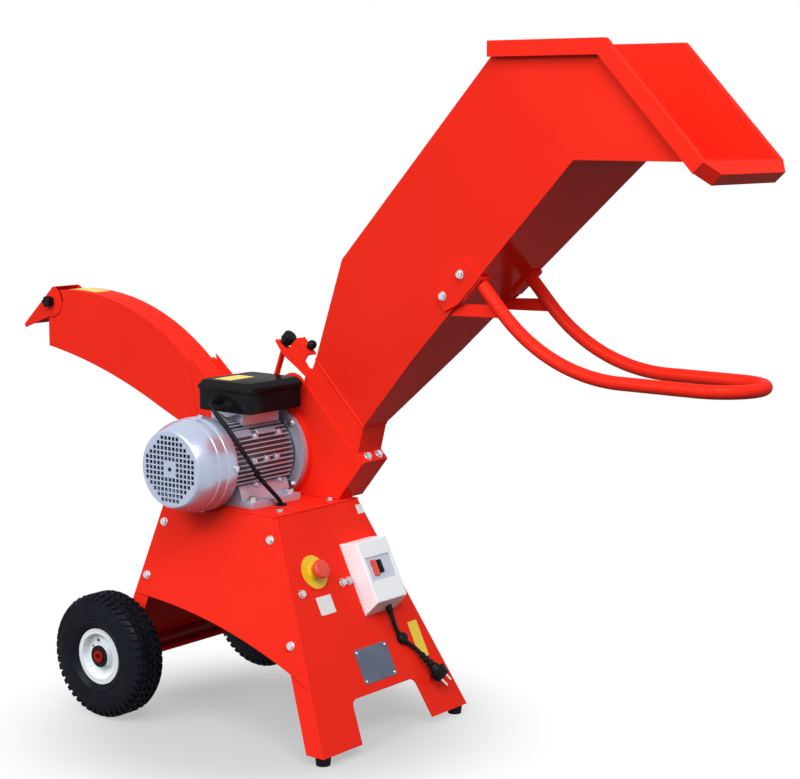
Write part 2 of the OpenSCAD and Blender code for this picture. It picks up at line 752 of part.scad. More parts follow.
module stator() {
  winding_len = 22;
  winding_in = 6;
  color("peru") about_shaft() turned() {
    translate([core_r + air_gap, core_y0])
      square([bore_r - seat_gap - core_r - air_gap, core_y1 - core_y0]);
    for (y = [core_y0 - winding_len, core_y1])
      translate([core_r + winding_in, y]) square([bore_r - core_r - 2 * winding_in, winding_len]);
  }
}
module motor_bearings() {
  color("lightsteelblue") about_shaft()
    for (y = [frame_y0 - bearing_seat, frame_y1 + bearing_seat - bearing_w]) difference() {
      rod(bearing_d, y, y + bearing_w);
      rod(shaft_d + 2 * run_gap, y - eps, y + bearing_w + eps);
    }
}
module motor_bolts() {
  cover_head_h = 3;
  color(zinc) {
    placed() motor_foot_spots() bolt(motor_bolt_d, foot_t + plate_t);
    about_shaft() {
      cover_screw_spots() {
        cylinder(d = 2 * cover_screw_d, h = cover_head_h);
        translate([0, 0, -8]) cylinder(d = cover_screw_d - 2 * seat_gap, h = 8 + eps);
      }
      flange_bolt_spots() rotate([90, 0, 0]) bolt_stub(flange_bolt_d, flange_t + ring_t - eps);
    }
  }
}

// Capacitor box on the motor's pad
module at_cap() { placed() translate([cap_mid[0], cap_mid[1], cap_z]) children(); }
gland_z = 24;
gland_d = 16;
gland_x = -11;
module capacitor_box() {
  inner = [cap_x - 2 * cap_wall, cap_y - 2 * cap_wall];
  color(black) at_cap() difference() {
    translate([-cap_x / 2, -cap_y / 2, 0]) cube([cap_x, cap_y, cap_h]);
    translate([-inner[0] / 2, -inner[1] / 2, cap_wall]) cube([inner[0], inner[1], cap_h]);
    translate([gland_x, -cap_y / 2 - eps, gland_z]) rod(gland_d + 2 * seat_gap, 0, cap_wall + 2 * eps);
  }
}
module capacitor_lid() {
  bevel = 10;
  over = 3;
  skirt = 5;
  full = [-cap_x / 2 - over, cap_x / 2 + over, -cap_y / 2 - over, cap_y / 2 + over];
  color(black) at_cap() difference() {
    union() {
      taper(full, full, cap_h - skirt, cap_h + 3);
      taper(full, shrink(full, bevel), cap_h + 3, cap_h + cap_lid_h);
    }
    taper(shrink(full, over - seat_gap), shrink(full, over - seat_gap), cap_h - skirt - eps, cap_h);
    taper(shrink(full, 2 * over), shrink(full, bevel + over), cap_h - eps, cap_h + cap_lid_h - cap_wall);
  }
}
module capacitors() {
  can_d = cap_h - cap_wall - 3;
  can_len = cap_y - 2 * cap_wall - 40;
  color("gainsboro") at_cap() for (x = [-0.25, 0.25] * cap_x)
    translate([x, 0, cap_wall + can_d / 2]) rod(can_d, -can_len / 2, can_len / 2);
}
gland_len = 17;
box_gland_len = 20;
// Glands at the capacitor box, the top plate and the switch box
module cable_glands() {
  cable_fit = cable_d + 2 * seat_gap;
  color(black) {
    at_cap() translate([gland_x, -cap_y / 2, gland_z]) {
      difference() {
        union() {
          rod(gland_d, -gland_len, cap_wall);
          rod(gland_d + 6, -6, 0);
        }
        rod(cable_fit, -gland_len, -gland_len + 8);
      }
    }
    placed() translate([cable_hole[0], cable_hole[1], 0]) difference() {
      union() {
        translate([0, 0, plate_bot]) cylinder(d = cable_hole_d + 4 - 2 * seat_gap, h = plate_t + eps);
        translate([0, 0, plate_top]) cylinder(d = cable_hole_d + 9, h = 3);
      }
      cylinder(d = cable_hole_d, h = axis_z);
    }
    on_front() translate([cord_exit[0] - box_gland_len, cord_exit[1], cord_exit[2]]) rotate([0, 90, 0]) {
      cylinder(d = box_gland_d, h = box_gland_len / 2);
      translate([0, 0, box_gland_len / 2])
        cylinder(d1 = box_gland_d, d2 = cord_d + 2, h = box_gland_len / 2);
    }
  }
}
cable_d = 9;
// Route of the motor cable from the capacitor box through the top plate to the switch box
cable_route = [[4, -106, 664], [4, -114, 664], [5, -121, 662], [11, -126, 657], [21, -129, 648],
  [36, -131, 635], [54, -131, 621], [71, -131, 605], [85, -128, 587], [95, -122, 568], [102, -113, 550],
  [106, -101, 531], [109, -88, 512], [112, -72, 495], [114.5, -57, 480], [116, -44, 467], [116.5, -35, 456],
  [116.5, -32, 446], [117, -28, 432], [119, -19, 415], [124, -5, 397], [132, 12, 378], [145, 31, 360],
  [163, 49, 345], [184, 61, 334], [206, 67, 328], [228, 70, 327], [238, 70, 330]];
module motor_cable() {
  ref = [1, 0, 0.4];
  color(black) placed() sweep(cable_route, cable_d, ref);
}

// Cutting head

ring_bore_d = 120;
module motor_ring() {
  color(red) about_shaft() difference() {
    rod(2 * ring_r, flange_y, house_y);
    rod(ring_bore_d, flange_y - eps, house_y + eps);
    flange_bolt_spots() rod(flange_bolt_d, 0, flange_t + ring_t + eps);
  }
}
case_r = shaft_h;
// The case's flat walls run out a little inside its round wall
flat_r = case_r - 0.4;
tip_r = case_r - housing_wall - tip_gap;
far_y = house_y + housing_w;
inner_y0 = house_y + housing_wall;
inner_y1 = far_y - housing_wall;
// Socket of the duct about the shaft: its upper corner, and its lower one, cut back along the lower wall
duct_hi = [-254, 170];
duct_slope = 40.3;
duct_h = 153;
duct_up = [-cos(duct_slope), sin(duct_slope)];
duct_cut = 150;
duct_square = duct_hi + duct_h * left(duct_up);
duct_low_a = atan2(duct_square[1], -duct_square[0]) + asin(flat_r / norm(duct_square));
duct_low_up = [-cos(duct_low_a), sin(duct_low_a)];
duct_lo = duct_square - duct_cut * duct_low_up;
duct_touch = flat_r * [-sin(duct_low_a), -cos(duct_low_a)];
duct_foot = duct_hi - (duct_hi * duct_up) * duct_up;
function duct_pts(e) = [duct_hi + e * duct_up, duct_lo + e * duct_low_up, duct_touch, duct_foot];
inlet_pts = [[0, -flat_r], [skirt_x, -flat_r], tilt(flange_n, -inlet_lo), tilt(flange_n, inlet_hi),
  tilt(0, inlet_hi)];
// Lower edge of the feed opening in the housing's infeed face
feed_lo = hopper_lo - 5;
feed_edge = 0.5;
lip_up = 10;
ear_r = 8;
lug_r = 36;
case_bolt_d = 6;
boss_d = 14;
// Bolts of the far cover: two bosses under the feed ramp, three ears outside the case
boss_spots = [[skirt_x - 24, -case_r + housing_wall + 6], tilt(flange_n - 42, -inlet_lo + 6)];
ear_out = ear_r - 3;
ear_spots = [duct_touch + 80 * duct_low_up + ear_out * left(duct_low_up),
  for (a = [135, 100]) (case_r + ear_out) * [cos(a), sin(a)]];

module case_outline() {
  circle(case_r);
  polygon(inlet_pts);
  polygon(duct_pts(0));
  for (spot = ear_spots) translate(spot) circle(ear_r);
}
// What the end plates add to the case: lips over the socket, and a lug under the clamp
module plate_extras() {
  up = -left(duct_up);
  polygon([duct_hi + lip_up * up, duct_lo, duct_foot, duct_foot + lip_up * up]);
  translate(tilt(flange_n - lug_r - 2, inlet_hi + 15)) circle(lug_r);
}
module case_hollow() {
  circle(case_r - housing_wall);
  polygon(inset(inlet_pts, housing_wall));
  polygon(inset(duct_pts(4 * housing_wall), housing_wall));
}
ramp_tip_a = -50;
ramp_gap = 2.5;
anvil_t = 8;
anvil_len = 34;
ramp_t = 5;
// Upper corner of the counter knife, and the slope of the ramp that carries it
anvil_tip = (tip_r + ramp_gap) * [cos(ramp_tip_a), sin(ramp_tip_a)];
ramp_end = [flange_n - housing_wall / 2, -feed_lo];
ramp_a = atan2(ramp_end[1] - anvil_tip[1] + anvil_t, ramp_end[0] - anvil_tip[0]);
module on_ramp() {
  translate([anvil_tip[0], 0, anvil_tip[1]]) rotate([0, -ramp_a, 0]) translate([0, 0, -anvil_t]) children();
}
ramp_len = norm(ramp_end - anvil_tip) - 1;
anvil_bolt_x = 20;
module knife_bolt_hole() { translate([0, 0, -20]) cylinder(d = knife_bolt_d + 2 * bolt_gap, h = 40); }
module anvil_bolt_spots() {
  for (y = [head_y - 22, head_y + 22]) translate([anvil_bolt_x, y, anvil_t]) children();
}
module housing_shell() {
  color(red) difference() {
    union() {
      about_shaft() difference() {
        union() {
          slab(house_y, inner_y1) case_outline();
          slab(house_y, inner_y0) plate_extras();
        }
        slab(inner_y0, far_y) case_hollow();
      }
      about_shaft() for (spot = boss_spots) translate([spot[0], 0, spot[1]])
        rod(boss_d, inner_y0 - eps, inner_y1);
      tilt_frame() difference() {
        on_ramp() translate([2, inner_y0 - eps, -ramp_t])
          cube([ramp_len, inner_y1 - inner_y0 + eps - seat_gap, ramp_t]);
        on_ramp() anvil_bolt_spots() knife_bolt_hole();
      }
    }
    tilt_frame() {
      translate([flange_n - 2 * housing_wall, inner_y0 + feed_edge, -feed_lo])
        cube([3 * housing_wall, housing_w, feed_lo + inlet_hi - housing_wall - feed_edge]);
      throat_bolt_spots() translate([0, 0, -30]) cylinder(d = stand_bolt_d + 2 * bolt_gap, h = 60);
    }
    about_shaft() {
      rod(60, house_y - eps, inner_y0 + eps);
      for (spot = concat(boss_spots, ear_spots)) translate([spot[0], 0, spot[1]])
        rod(case_bolt_d, inner_y1 - 20, far_y);
    }
  }
}
module housing_cover() {
  color(red) about_shaft() difference() {
    slab(inner_y1, far_y) difference() {
      union() {
        case_outline();
        plate_extras();
      }
      for (spot = concat(boss_spots, ear_spots)) translate(spot) circle(d = case_bolt_d + 2 * bolt_gap);
    }
  }
}
// Bolts of the housing, the fixed knife, the throat and the handle's brackets
module head_bolts() {
  color(zinc) {
    about_shaft() for (spot = concat(boss_spots, ear_spots))
      translate([spot[0], far_y, spot[1]]) rotate([-90, 0, 0])
        bolt_stub(case_bolt_d, housing_wall + 16);
    tilt_frame() {
      on_ramp() anvil_bolt_spots() bolt(knife_bolt_d, anvil_t + ramp_t);
      throat_bolt_spots() bolt(stand_bolt_d, tab_t + housing_wall);
      each_wall() bracket_bolt_spots() translate([0, 0, bracket_t])
        bolt(bracket_bolt_d, bracket_t + hopper_t + 2 * seat_gap);
    }
  }
}
// Bolt screwed into a blind hole
module bolt_stub(d, grip) {
  cylinder(d = 2.2 * d, h = 0.2 * d);
  translate([0, 0, 0.2 * d]) cylinder(d = 1.9 * d, h = 0.65 * d, $fn = 6);
  translate([0, 0, -grip]) cylinder(d = d - 2 * seat_gap, h = grip + 0.1 * d);
}
drum_y0 = inner_y0 + drum_end_gap;
drum_y1 = inner_y1 - drum_end_gap;
drum_r = tip_r - 7;
// Knife seats: a flat across the drum, with a gullet in front of the edge
edge_x = 36;
knife_top = sqrt(tip_r * tip_r - edge_x * edge_x);
knife_back = 22;
shaft_bolt_d = 10;
shaft_bolt_len = 30;
shaft_head_d = 18;
shaft_head_h = 7;
knife_bolt_ys = [0.25, 0.75];
module at_knives() { for (a = [0, 180]) rotate([0, a, 0]) children(); }
module knife_bolt_spots() {
  for (k = knife_bolt_ys) translate([0, drum_y0 + k * (drum_y1 - drum_y0), knife_top]) children();
}
module cutter_drum() {
  gullet = 22;
  color("slategray") about_shaft() difference() {
    rod(2 * drum_r, drum_y0, drum_y1);
    rod(shaft_d, drum_y0 - eps, flange_y + shaft_out);
    rod(shaft_bolt_d + 2 * bolt_gap, flange_y, drum_y1 + eps);
    rod(shaft_head_d + 2 * bolt_gap, drum_y1 - shaft_head_h, drum_y1 + eps);
    at_knives() {
      translate([-knife_back, drum_y0 - eps, knife_top - knife_t])
        cube([knife_back + edge_x, drum_y1 - drum_y0 + 2 * eps, 2 * knife_t]);
      translate([edge_x - eps, drum_y0 - eps, knife_top - gullet])
        cube([gullet + edge_x, drum_y1 - drum_y0 + 2 * eps, 2 * gullet]);
      knife_bolt_spots() translate([0, 0, -30]) cylinder(d = knife_bolt_d, h = 40);
    }
  }
}
module knives() {
  bevel = 0.8 * knife_t;
  color("lightsteelblue") about_shaft() at_knives() difference() {
    slab(drum_y0, drum_y1) polygon([[-knife_back, knife_top - knife_t],
      [edge_x - bevel, knife_top - knife_t], [edge_x, knife_top], [-knife_back, knife_top]]);
    knife_bolt_spots() knife_bolt_hole();
  }
}
module rotor_bolts() {
  color(zinc) about_shaft() {
    at_knives() knife_bolt_spots() {
      cylinder(d = 1.6 * knife_bolt_d, h = 0.5 * knife_bolt_d, $fn = 6);
      translate([0, 0, -knife_t - 18]) cylinder(d = knife_bolt_d - 2 * seat_gap, h = knife_t + 18 + eps);
    }
    rod(shaft_bolt_d - 2 * seat_gap, flange_y + shaft_out - shaft_bolt_len + 2,
      drum_y1 - shaft_head_h + eps);
    rod(shaft_head_d, drum_y1 - shaft_head_h, drum_y1 - eps);
  }
}
module counter_knife() {
  color("lightsteelblue") tilt_frame() on_ramp() difference() {
    translate([0, inner_y0 + seat_gap, 0]) cube([anvil_len, inner_y1 - inner_y0 - 2 * seat_gap, anvil_t]);
    anvil_bolt_spots() knife_bolt_hole();
  }
}

// Infeed, in the tilted frame: x along the feed, z across it

tab_t = 5;
tab_h = 26;
throat_bolt_v = inlet_lo - tab_h / 2;
throat_half = throat_w / 2;
throat_t = 3;
throat_base = inlet_lo - tab_h + 4;
module throat_bolt_spots() {
  for (y = [head_y - 18, head_y + 18])
    translate([flange_n + tab_t, y, -throat_bolt_v]) rotate([0, 90, 0]) children();
}
module hopper_throat() {
  a = [flange_n, inlet_hi];
  b = [throat_n, throat_hi];
  c = [throat_n, -hopper_lo];
  d = [flange_n, -throat_base];
  e = 2 * throat_t;
  inner = inset([past(a, b, e), past(d, c, e), past(c, d, e), past(b, a, e)], throat_t);
  color(red) tilt_frame() difference() {
    union() {
      slab(head_y - throat_half, head_y + throat_half) polygon([a, d, c, b]);
      translate([flange_n, head_y - throat_half, -inlet_lo]) cube([tab_t, throat_w, tab_h]);
    }
    slab(head_y - throat_half + throat_t, head_y + throat_half - throat_t) polygon(inner);
    throat_bolt_spots() translate([0, 0, -2 * tab_t])
      cylinder(d = stand_bolt_d + 2 * bolt_gap, h = 4 * tab_t);
  }
}
// Hopper outline about the shaft: up the lower wall, round the mouth and down the upper wall
low0 = tilt(throat_n, -hopper_lo);
low1 = tilt(fold_n, -hopper_lo);
low2 = tilt(mouth_n, -hopper_lo);
high2 = tilt(mouth_n, hopper_hi);
high1 = tilt(fold_n, hopper_hi);
high0 = tilt(throat_n, throat_hi);
tray_end = low2 + [tray_len, 0];
mouth_back = [high2[0], low2[1] + mouth_h];
mouth_front = mouth_back + [mouth_top, 0];
hopper_open = 6 * hopper_t;
hopper_out = [low0, low1, low2, tray_end, mouth_front, mouth_back, high2, high1, high0];
hopper_in = inset([past(low0, low1, hopper_open), low1, low2, tray_end + [hopper_open, 0],
  mouth_front + [hopper_open, hopper_open], mouth_back + [0, hopper_open], high2, high1,
  past(high0, high1, hopper_open)], hopper_t);
flare_low = (fold_hopper_w - throat_w) / 2 / (fold_n - throat_n);
flare_high = (mouth_w - fold_hopper_w) / 2 / (mouth_n - fold_n);
function hopper_halves(d, e) =
  let (h0 = throat_half - e * flare_low - d, h1 = fold_hopper_w / 2 - d, h2 = mouth_w / 2 - d)
  [h0, h1, h2, h2, h2, h2, h2, h1, h0];
// Solid between two mirrored side walls, one half width to each outline point
module hopper_solid(pts, halves) {
  c = len(pts);
  near = [[0, 8, 7], [0, 7, 1], [1, 7, 6], [1, 6, 2], [2, 6, 5], [2, 5, 4], [2, 4, 3]];
  far = [for (f = near) [f[2] + c, f[1] + c, f[0] + c]];
  edge = [for (i = [0 : c - 1]) let (j = (i + 1) % c) for (f = [[i, j, j + c], [i, j + c, i + c]]) f];
  polyhedron(concat([for (i = [0 : c - 1]) [pts[i][0], head_y - halves[i], pts[i][1]]],
    [for (i = [0 : c - 1]) [pts[i][0], head_y + halves[i], pts[i][1]]]), concat(near, far, edge));
}
// Height of the folded rim above the sheet's own edge
rim_proud = 0.6;
// Strip along the mouth's slanted and level edges, from d0 to d1 inside them
module mouth_band(d0, d1) {
  slant_in = left(unit(mouth_front - tray_end));
  function strip(d) = [tray_end + d * slant_in, inset_corner(tray_end, mouth_front, mouth_back, d),
    mouth_back + [rim_proud, -d]];
  polygon(concat(strip(d0), [for (i = [2 : -1 : 0]) strip(d1)[i]]));
}
// Sheet walls between two planes across the feed; the neck ends just above the first fold
neck_n = fold_n + 8;
module hopper_walls(n0, n1) {
  span = n1 - n0;
  color(red) about_shaft() difference() {
    intersection() {
      hopper_solid(hopper_out, hopper_halves(0, 0));
      rotate([0, -hopper_tilt, 0]) translate([n0, head_y - span, -span]) cube([span, 2 * span, 2 * span]);
    }
    hopper_solid(hopper_in, hopper_halves(hopper_t, hopper_open));
    rotate([0, -hopper_tilt, 0]) each_wall() bracket_bolt_spots() translate([0, 0, -20])
      cylinder(d = bracket_bolt_d + 2 * bolt_gap, h = 40);
  }
}
module hopper_neck() { hopper_walls(0, neck_n); }
module hopper() {
  half = mouth_w / 2;
  lip_a = atan2(mouth_h, tray_end[0] - mouth_front[0]);
  lip_half = half + rim_out - hopper_t / 2;
  // Lip outline, drawn up the side walls by e
  function lip(e) = [[-e, -lip_half], [0, -lip_half], [lip_h, lip_h - lip_half], [lip_h, lip_half - lip_h],
    [0, lip_half], [-e, lip_half]];
  hopper_walls(neck_n, 2 * mouth_n);
  color(red) about_shaft() {
    for (m = [0, 1]) translate([0, head_y, 0]) mirror([0, m, 0]) difference() {
      slab(half - hopper_t / 2, half + rim_out) mouth_band(-rim_proud, rim_deep);
      slab(half, half + rim_out - hopper_t) mouth_band(hopper_t, rim_deep + eps);
    }
    translate([tray_end[0], head_y, tray_end[1]]) rotate([0, lip_a, 0]) difference() {
      translate([0, 0, eps - rim_deep]) linear_extrude(rim_deep - eps + rim_proud / 2) polygon(lip(hopper_t));
      translate([0, 0, -2 * rim_deep]) linear_extrude(2 * rim_deep - hopper_t)
        polygon(inset(lip(3 * hopper_t), hopper_t));
    }
  }
}

// Handle

handle_t = 2;
bracket_bolt_d = 8;
bracket_bolt_ns = [handle_n - 77, handle_n - 13];
bracket_bolt_v = hopper_lo - 32;
wall_a = atan(flare_high);
leg_half = handle_span / 2;
// Near wall of the hopper above its first fold, then its mirror image on the far side
module each_wall() { for (m = [0, 1]) translate([0, head_y, 0]) mirror([0, m, 0]) children(); }
function wall_y(n) = -(fold_hopper_w / 2 + (n - fold_n) * flare_high) - seat_gap;
module bracket_bolt_spots() {
  for (n = bracket_bolt_ns) translate([n, wall_y(n), -bracket_bolt_v])
    rotate([0, 0, -wall_a]) rotate([90, 0, 0]) children();
}
// Centreline of one leg from its upper end, drawn out there by e, to the end bend
bend_steps = 12;
function leg_line(e) = concat([past(leg_end, bend_start, e)],
  [for (i = [0 : bend_steps]) let (a = handle_lean * (1 - i / bend_steps))
    bend_mid - handle_bend * [sin(a), cos(a)]]);
end_steps = 16;
function handle_line(e) = let (leg = leg_line(e), z = bend_mid[1] - handle_bend, c = len(leg))
  concat([for (p = leg) [p[0], -leg_half, p[1]]],
    [for (i = [0 : end_steps]) let (a = -90 + 180 * i / end_steps)
      [handle_end_x + leg_half * cos(a), leg_half * sin(a), z]],
    [for (i = [c - 1 : -1 : 0]) [leg[i][0], leg_half, leg[i][1]]]);
module handle_tube() {
  ref = [0.3, 0, 1];
  sides = 20;
  color(red) about_shaft() translate([0, head_y, 0]) difference() {
    sweep(handle_line(0), handle_d, ref, sides);
    sweep(handle_line(eps), handle_d - 2 * handle_t, ref, sides);
  }
}
brace_h = 34;
// Plates on the hopper walls with a foot under each leg, and braces from the hopper's underside
module handle_brackets() {
  top = 50 - hopper_lo;
  foot_t = leg_gap - 4 * seat_gap;
  foot_y = handle_d / 2 + 4 - leg_half;
  low = -hopper_lo - seat_gap;
  n0 = handle_n - 97;
  n1 = handle_n + 17;
  foot_n0 = n0 + 50;
  foot_n1 = n1 - eps;
  plate = [[n0 + 12, top], [n1 - 8, top], [n1, top - 8], [n1, low - foot_t / 2], [n0 + 36, low - foot_t / 2],
    [n0, 8 - hopper_lo], [n0, top - 12]];
  brace_n = handle_n - 66;
  brace_down = 50;
  leg_dir = unit(bend_start - leg_end);
  color(red) {
    tilt_frame() each_wall() difference() {
      union() {
        intersection() {
          translate([0, 0, -mouth_w]) linear_extrude(2 * mouth_w) polygon([[n0 - eps, wall_y(n0 - eps)],
            [n0 - eps, wall_y(n0 - eps) - bracket_t], [n1 + eps, wall_y(n1 + eps) - bracket_t],
            [n1 + eps, wall_y(n1 + eps)]]);
          slab(-mouth_w, 0) polygon(plate);
        }
        translate([0, 0, low - foot_t]) linear_extrude(foot_t) polygon([[foot_n0, wall_y(foot_n0) - eps],
          [foot_n1, wall_y(foot_n1) - eps], [foot_n1, foot_y], [foot_n0, foot_y]]);
      }
      bracket_bolt_spots() translate([0, 0, -20]) cylinder(d = bracket_bolt_d + 2 * bolt_gap, h = 40);
    }
    about_shaft() each_wall() difference() {
      slab(-leg_half - bracket_t / 2, -leg_half + bracket_t / 2) polygon([tilt(brace_n, -hopper_lo),
        tilt(brace_n - brace_h, -hopper_lo), leg_end + (brace_down + brace_h) * leg_dir,
        leg_end + brace_down * leg_dir]);
      leg_bar();
    }
  }
}
// Room for one straight leg, in the frame about the shaft
module leg_bar() {
  translate([bend_start[0], -leg_half, bend_start[1]]) rotate([0, handle_lean - 90, 0])
    translate([0, 0, -handle_start]) cylinder(d = handle_d + 2 * seat_gap, h = 3 * handle_start);
}

// Clamp over the throat, in a frame at the upper edge of the housing's infeed face

clamp_y = 92;
clamp_t = 4;
clamp_deep = 26;
clamp_stud_d = 8;
clamp_mid_y = clamp_y + 15;
clamp_knob_v = 112;
lock_v = 60;
lug_n = -10;
lock_tab_n = 38;
module clamp_frame() { tilt_frame() translate([flange_n, 0, inlet_hi]) children(); }
module clamp_plate() {
  rise = (throat_hi - inlet_hi) / (throat_n - flange_n);
  color(red) clamp_frame() difference() {
    union() {
      slab(clamp_y, clamp_y + clamp_t) polygon([[4, 4 * rise], [30, 30 * rise], [22, 24], [24, 42],
        [lock_tab_n, 44], [lock_tab_n + clamp_t, 44], [lock_tab_n + clamp_t, 90], [2, 90], [-4, 126],
        [lug_n, 126], [-14, 90], [-4, 46]]);
      translate([lug_n, clamp_y, 94]) cube([clamp_t, clamp_deep, 32]);
      translate([lock_tab_n, clamp_y, 44]) cube([clamp_t, clamp_deep, 46]);
    }
    translate([0, clamp_mid_y, clamp_knob_v]) along_feed(clamp_stud_d + 2 * run_gap, -60, 60);
    translate([0, clamp_mid_y, lock_v]) along_feed(clamp_stud_d + 2 * run_gap, 10, 60);
  }
}
module along_feed(d, n0, n1) { translate([n0, 0, 0]) rotate([0, 90, 0]) cylinder(d = d, h = n1 - n0); }
strap_w = 14;
strap_end = lug_n - 5.5;
module clamp_strap() {
  color(red) clamp_frame() difference() {
    slab(clamp_mid_y - strap_w / 2, clamp_mid_y + strap_w / 2) polygon([[-80, 0], [-50, 0], [-50, 4],
      [-75, 4], [-66, 77], [strap_end, 101], [strap_end, 98], [lug_n - seat_gap, 98], [lug_n - seat_gap, 124],
      [strap_end, 124], [strap_end, 107], [-70, 81]]);
    translate([0, clamp_mid_y, clamp_knob_v]) along_feed(clamp_stud_d + 2 * run_gap, -40, 20);
  }
}
module clamp_knob() {
  knob_d = 30;
  knob_n = 4;
  knob_len = 20;
  lobes = 6;
  color(black) clamp_frame() translate([0, clamp_mid_y, clamp_knob_v]) difference() {
    union() {
      along_feed(clamp_stud_d, strap_end - 2, knob_n);
      along_feed(2 * clamp_stud_d, lug_n + clamp_t + seat_gap, knob_n + eps);
      along_feed(knob_d, knob_n, knob_n + knob_len);
    }
    for (i = [0 : lobes - 1]) rotate([360 * i / lobes, 0, 0]) translate([0, knob_d / 2 + 3, 0])
      along_feed(12, knob_n - eps, knob_n + knob_len + eps);
  }
}
module lock_knob() {
  ball_d = 20;
  ball_n = lock_tab_n + clamp_t + ball_d / 2;
  color(black) clamp_frame() translate([0, clamp_mid_y, lock_v]) {
    along_feed(clamp_stud_d, lock_tab_n - 3, ball_n);
    along_feed(1.5 * clamp_stud_d, lock_tab_n + clamp_t + seat_gap, ball_n - 2);
    translate([ball_n + 1, 0, 0]) sphere(d = ball_d);
  }
}

// Discharge

socket_off = housing_wall + socket_gap;
chute_hi = duct_hi + socket_off * left(duct_up);
chute_lo = duct_square - socket_off * left(duct_low_up);
chute_end_hi = [-chute_reach, chute_top_h];
chute_end_lo = [-chute_reach, chute_low_h];
chute_steps = 14;
chute_top = bow_arc(chute_hi, chute_end_hi, chute_top_bow, chute_steps);
chute_low = bow_arc(chute_lo, chute_end_lo, chute_low_bow, chute_steps);
chute_y0 = inner_y0 + socket_gap;
chute_y1 = inner_y1 - socket_gap;
hood_stud_d = 8;
hood_stud_len = 12;
hood_gap = 0.8;
hood_lobe_r = 16;
// Chute outline about the shaft, with its two open ends drawn out by e
function chute_pts(e) = concat([for (i = [0 : chute_steps - 1]) chute_top[i]],
  [past(chute_end_hi, chute_top[chute_steps - 1], e), past(chute_end_lo, chute_low[chute_steps - 1], e)],
  [for (i = [chute_steps - 1 : -1 : 0]) chute_low[i]],
  [chute_lo - (duct_cut + socket_deep + e) * duct_low_up, chute_hi - (socket_deep + e) * duct_up]);
module chute() {
  clear_r = hood_r + 3;
  color(red) about_shaft() difference() {
    slab(chute_y0, chute_y1) polygon(chute_pts(0));
    slab(chute_y0 + chute_t, chute_y1 - chute_t) polygon(inset(chute_pts(3 * chute_t), chute_t));
    slab(chute_y0 + chute_t, chute_y1 - chute_t)
      translate([hood_pivot[0] - clear_r, hood_pivot[1]]) square(2 * clear_r);
    slab(chute_y0 - eps, chute_y1 + eps) translate(hood_pivot) difference() {
      intersection() {
        circle(clear_r);
        translate([-2 * clear_r, 0]) square(4 * clear_r);
      }
      circle(hood_lobe_r);
    }
    translate([hood_pivot[0], 0, hood_pivot[1]])
      rod(hood_stud_d + 2 * run_gap, chute_y0 - eps, chute_y1 + eps);
  }
}
hood_top_a = 78;
module deflector() {
  top = hood_r * [cos(hood_top_a), sin(hood_top_a)];
  tip = [-hood_reach, -hood_drop];
  out = -left(unit(tip - top));
  y0 = chute_y0 - hood_gap - chute_t;
  y1 = chute_y1 + hood_gap + chute_t;
  low_a = -100;
  steps = 32;
  module cheek() {
    polygon(concat([for (i = [0 : steps]) let (a = hood_top_a + (low_a - hood_top_a) * i / steps)
      hood_r * [cos(a), sin(a)]], [[-0.6 * hood_reach, 4 - hood_drop], tip + [5, -8], tip]));
  }
  color(red) about_shaft() translate([hood_pivot[0], 0, hood_pivot[1]]) {
    slab(y0, y0 + chute_t) cheek();
    slab(y1 - chute_t, y1) cheek();
    slab(y0, y1) polygon([top, tip, tip - chute_t * out, top - chute_t * out]);
    rod(hood_stud_d, y0 - hood_stud_len, chute_y0 + chute_t + 2);
    rod(hood_stud_d, chute_y1 - chute_t - 2, y1);
    rod(2 * hood_stud_d, y1, y1 + 3);
  }
}
module deflector_knob() {
  y0 = chute_y0 - hood_gap - chute_t - seat_gap;
  knob_len = 16;
  lobes = 5;
  color(black) about_shaft() translate([hood_pivot[0], 0, hood_pivot[1]]) difference() {
    rod(hood_knob_d, y0 - knob_len, y0);
    for (i = [0 : lobes - 1]) rotate([0, 360 * i / lobes, 0]) translate([hood_knob_d / 2 + 2, 0, 0])
      rod(9, y0 - knob_len - eps, y0 + eps);
    rod(hood_stud_d + 2 * run_gap, y0 - hood_stud_len - eps, y0 + eps);
  }
}

// Controls on the front panel: x down the panel, y across, z out of it

box_s = 83;
box_y = 24;
box_mid_y = box_y + box_w / 2;
box_low = [box_s, box_s + box_len, box_y, box_y + box_w];
box_high = [box_s + 12, box_s + box_len - 15, box_y + 3, box_y + box_w - 5];
box_screw_d = 5;
face = [box_s + 47, box_s + 96, box_mid_y - 40, box_mid_y + 36];
face_t = 3;
face_d = box_deep - box_wall - face_t;
stop_spot = [box_s + 70, box_mid_y - 18.5];
start_spot = [box_s + 69, box_mid_y - 2];
stop_size = [33, 14];
start_size = [27, 12];
box_gland_d = 14;
cord_exit = [250, 85, 15];
module box_screw_spots() {
  for (s = [box_s + 26, box_s + box_len - 34]) translate([s, box_mid_y, 0]) children();
}
module switch_cable_spot() { translate([box_s + 36, box_mid_y - 6, 0]) children(); }
module flat_rect(r, h) { translate([r[0], r[2], 0]) cube([r[1] - r[0], r[3] - r[2], h]); }
module switch_box() {
  post_d = 11;
  color("silver") on_front() difference() {
    union() {
      difference() {
        taper(box_low, box_high, 0, box_deep);
        taper(shrink(box_low, box_wall), shrink(box_high, box_wall), -eps, box_deep - box_wall);
        taper(shrink(box_low, box_wall), shrink(box_low, box_wall), -eps, eps / 10);
      }
      box_screw_spots() cylinder(d = post_d, h = box_deep - box_wall / 2);
    }
    box_screw_spots() translate([0, 0, -eps]) cylinder(d = box_screw_d, h = 18);
    translate([0, 0, face_d]) flat_rect(face, box_deep);
    translate([cord_exit[0] - box_gland_len, cord_exit[1], cord_exit[2]]) rotate([0, 90, 0])
      cylinder(d = box_gland_d + 2 * seat_gap, h = box_gland_len);
  }
}
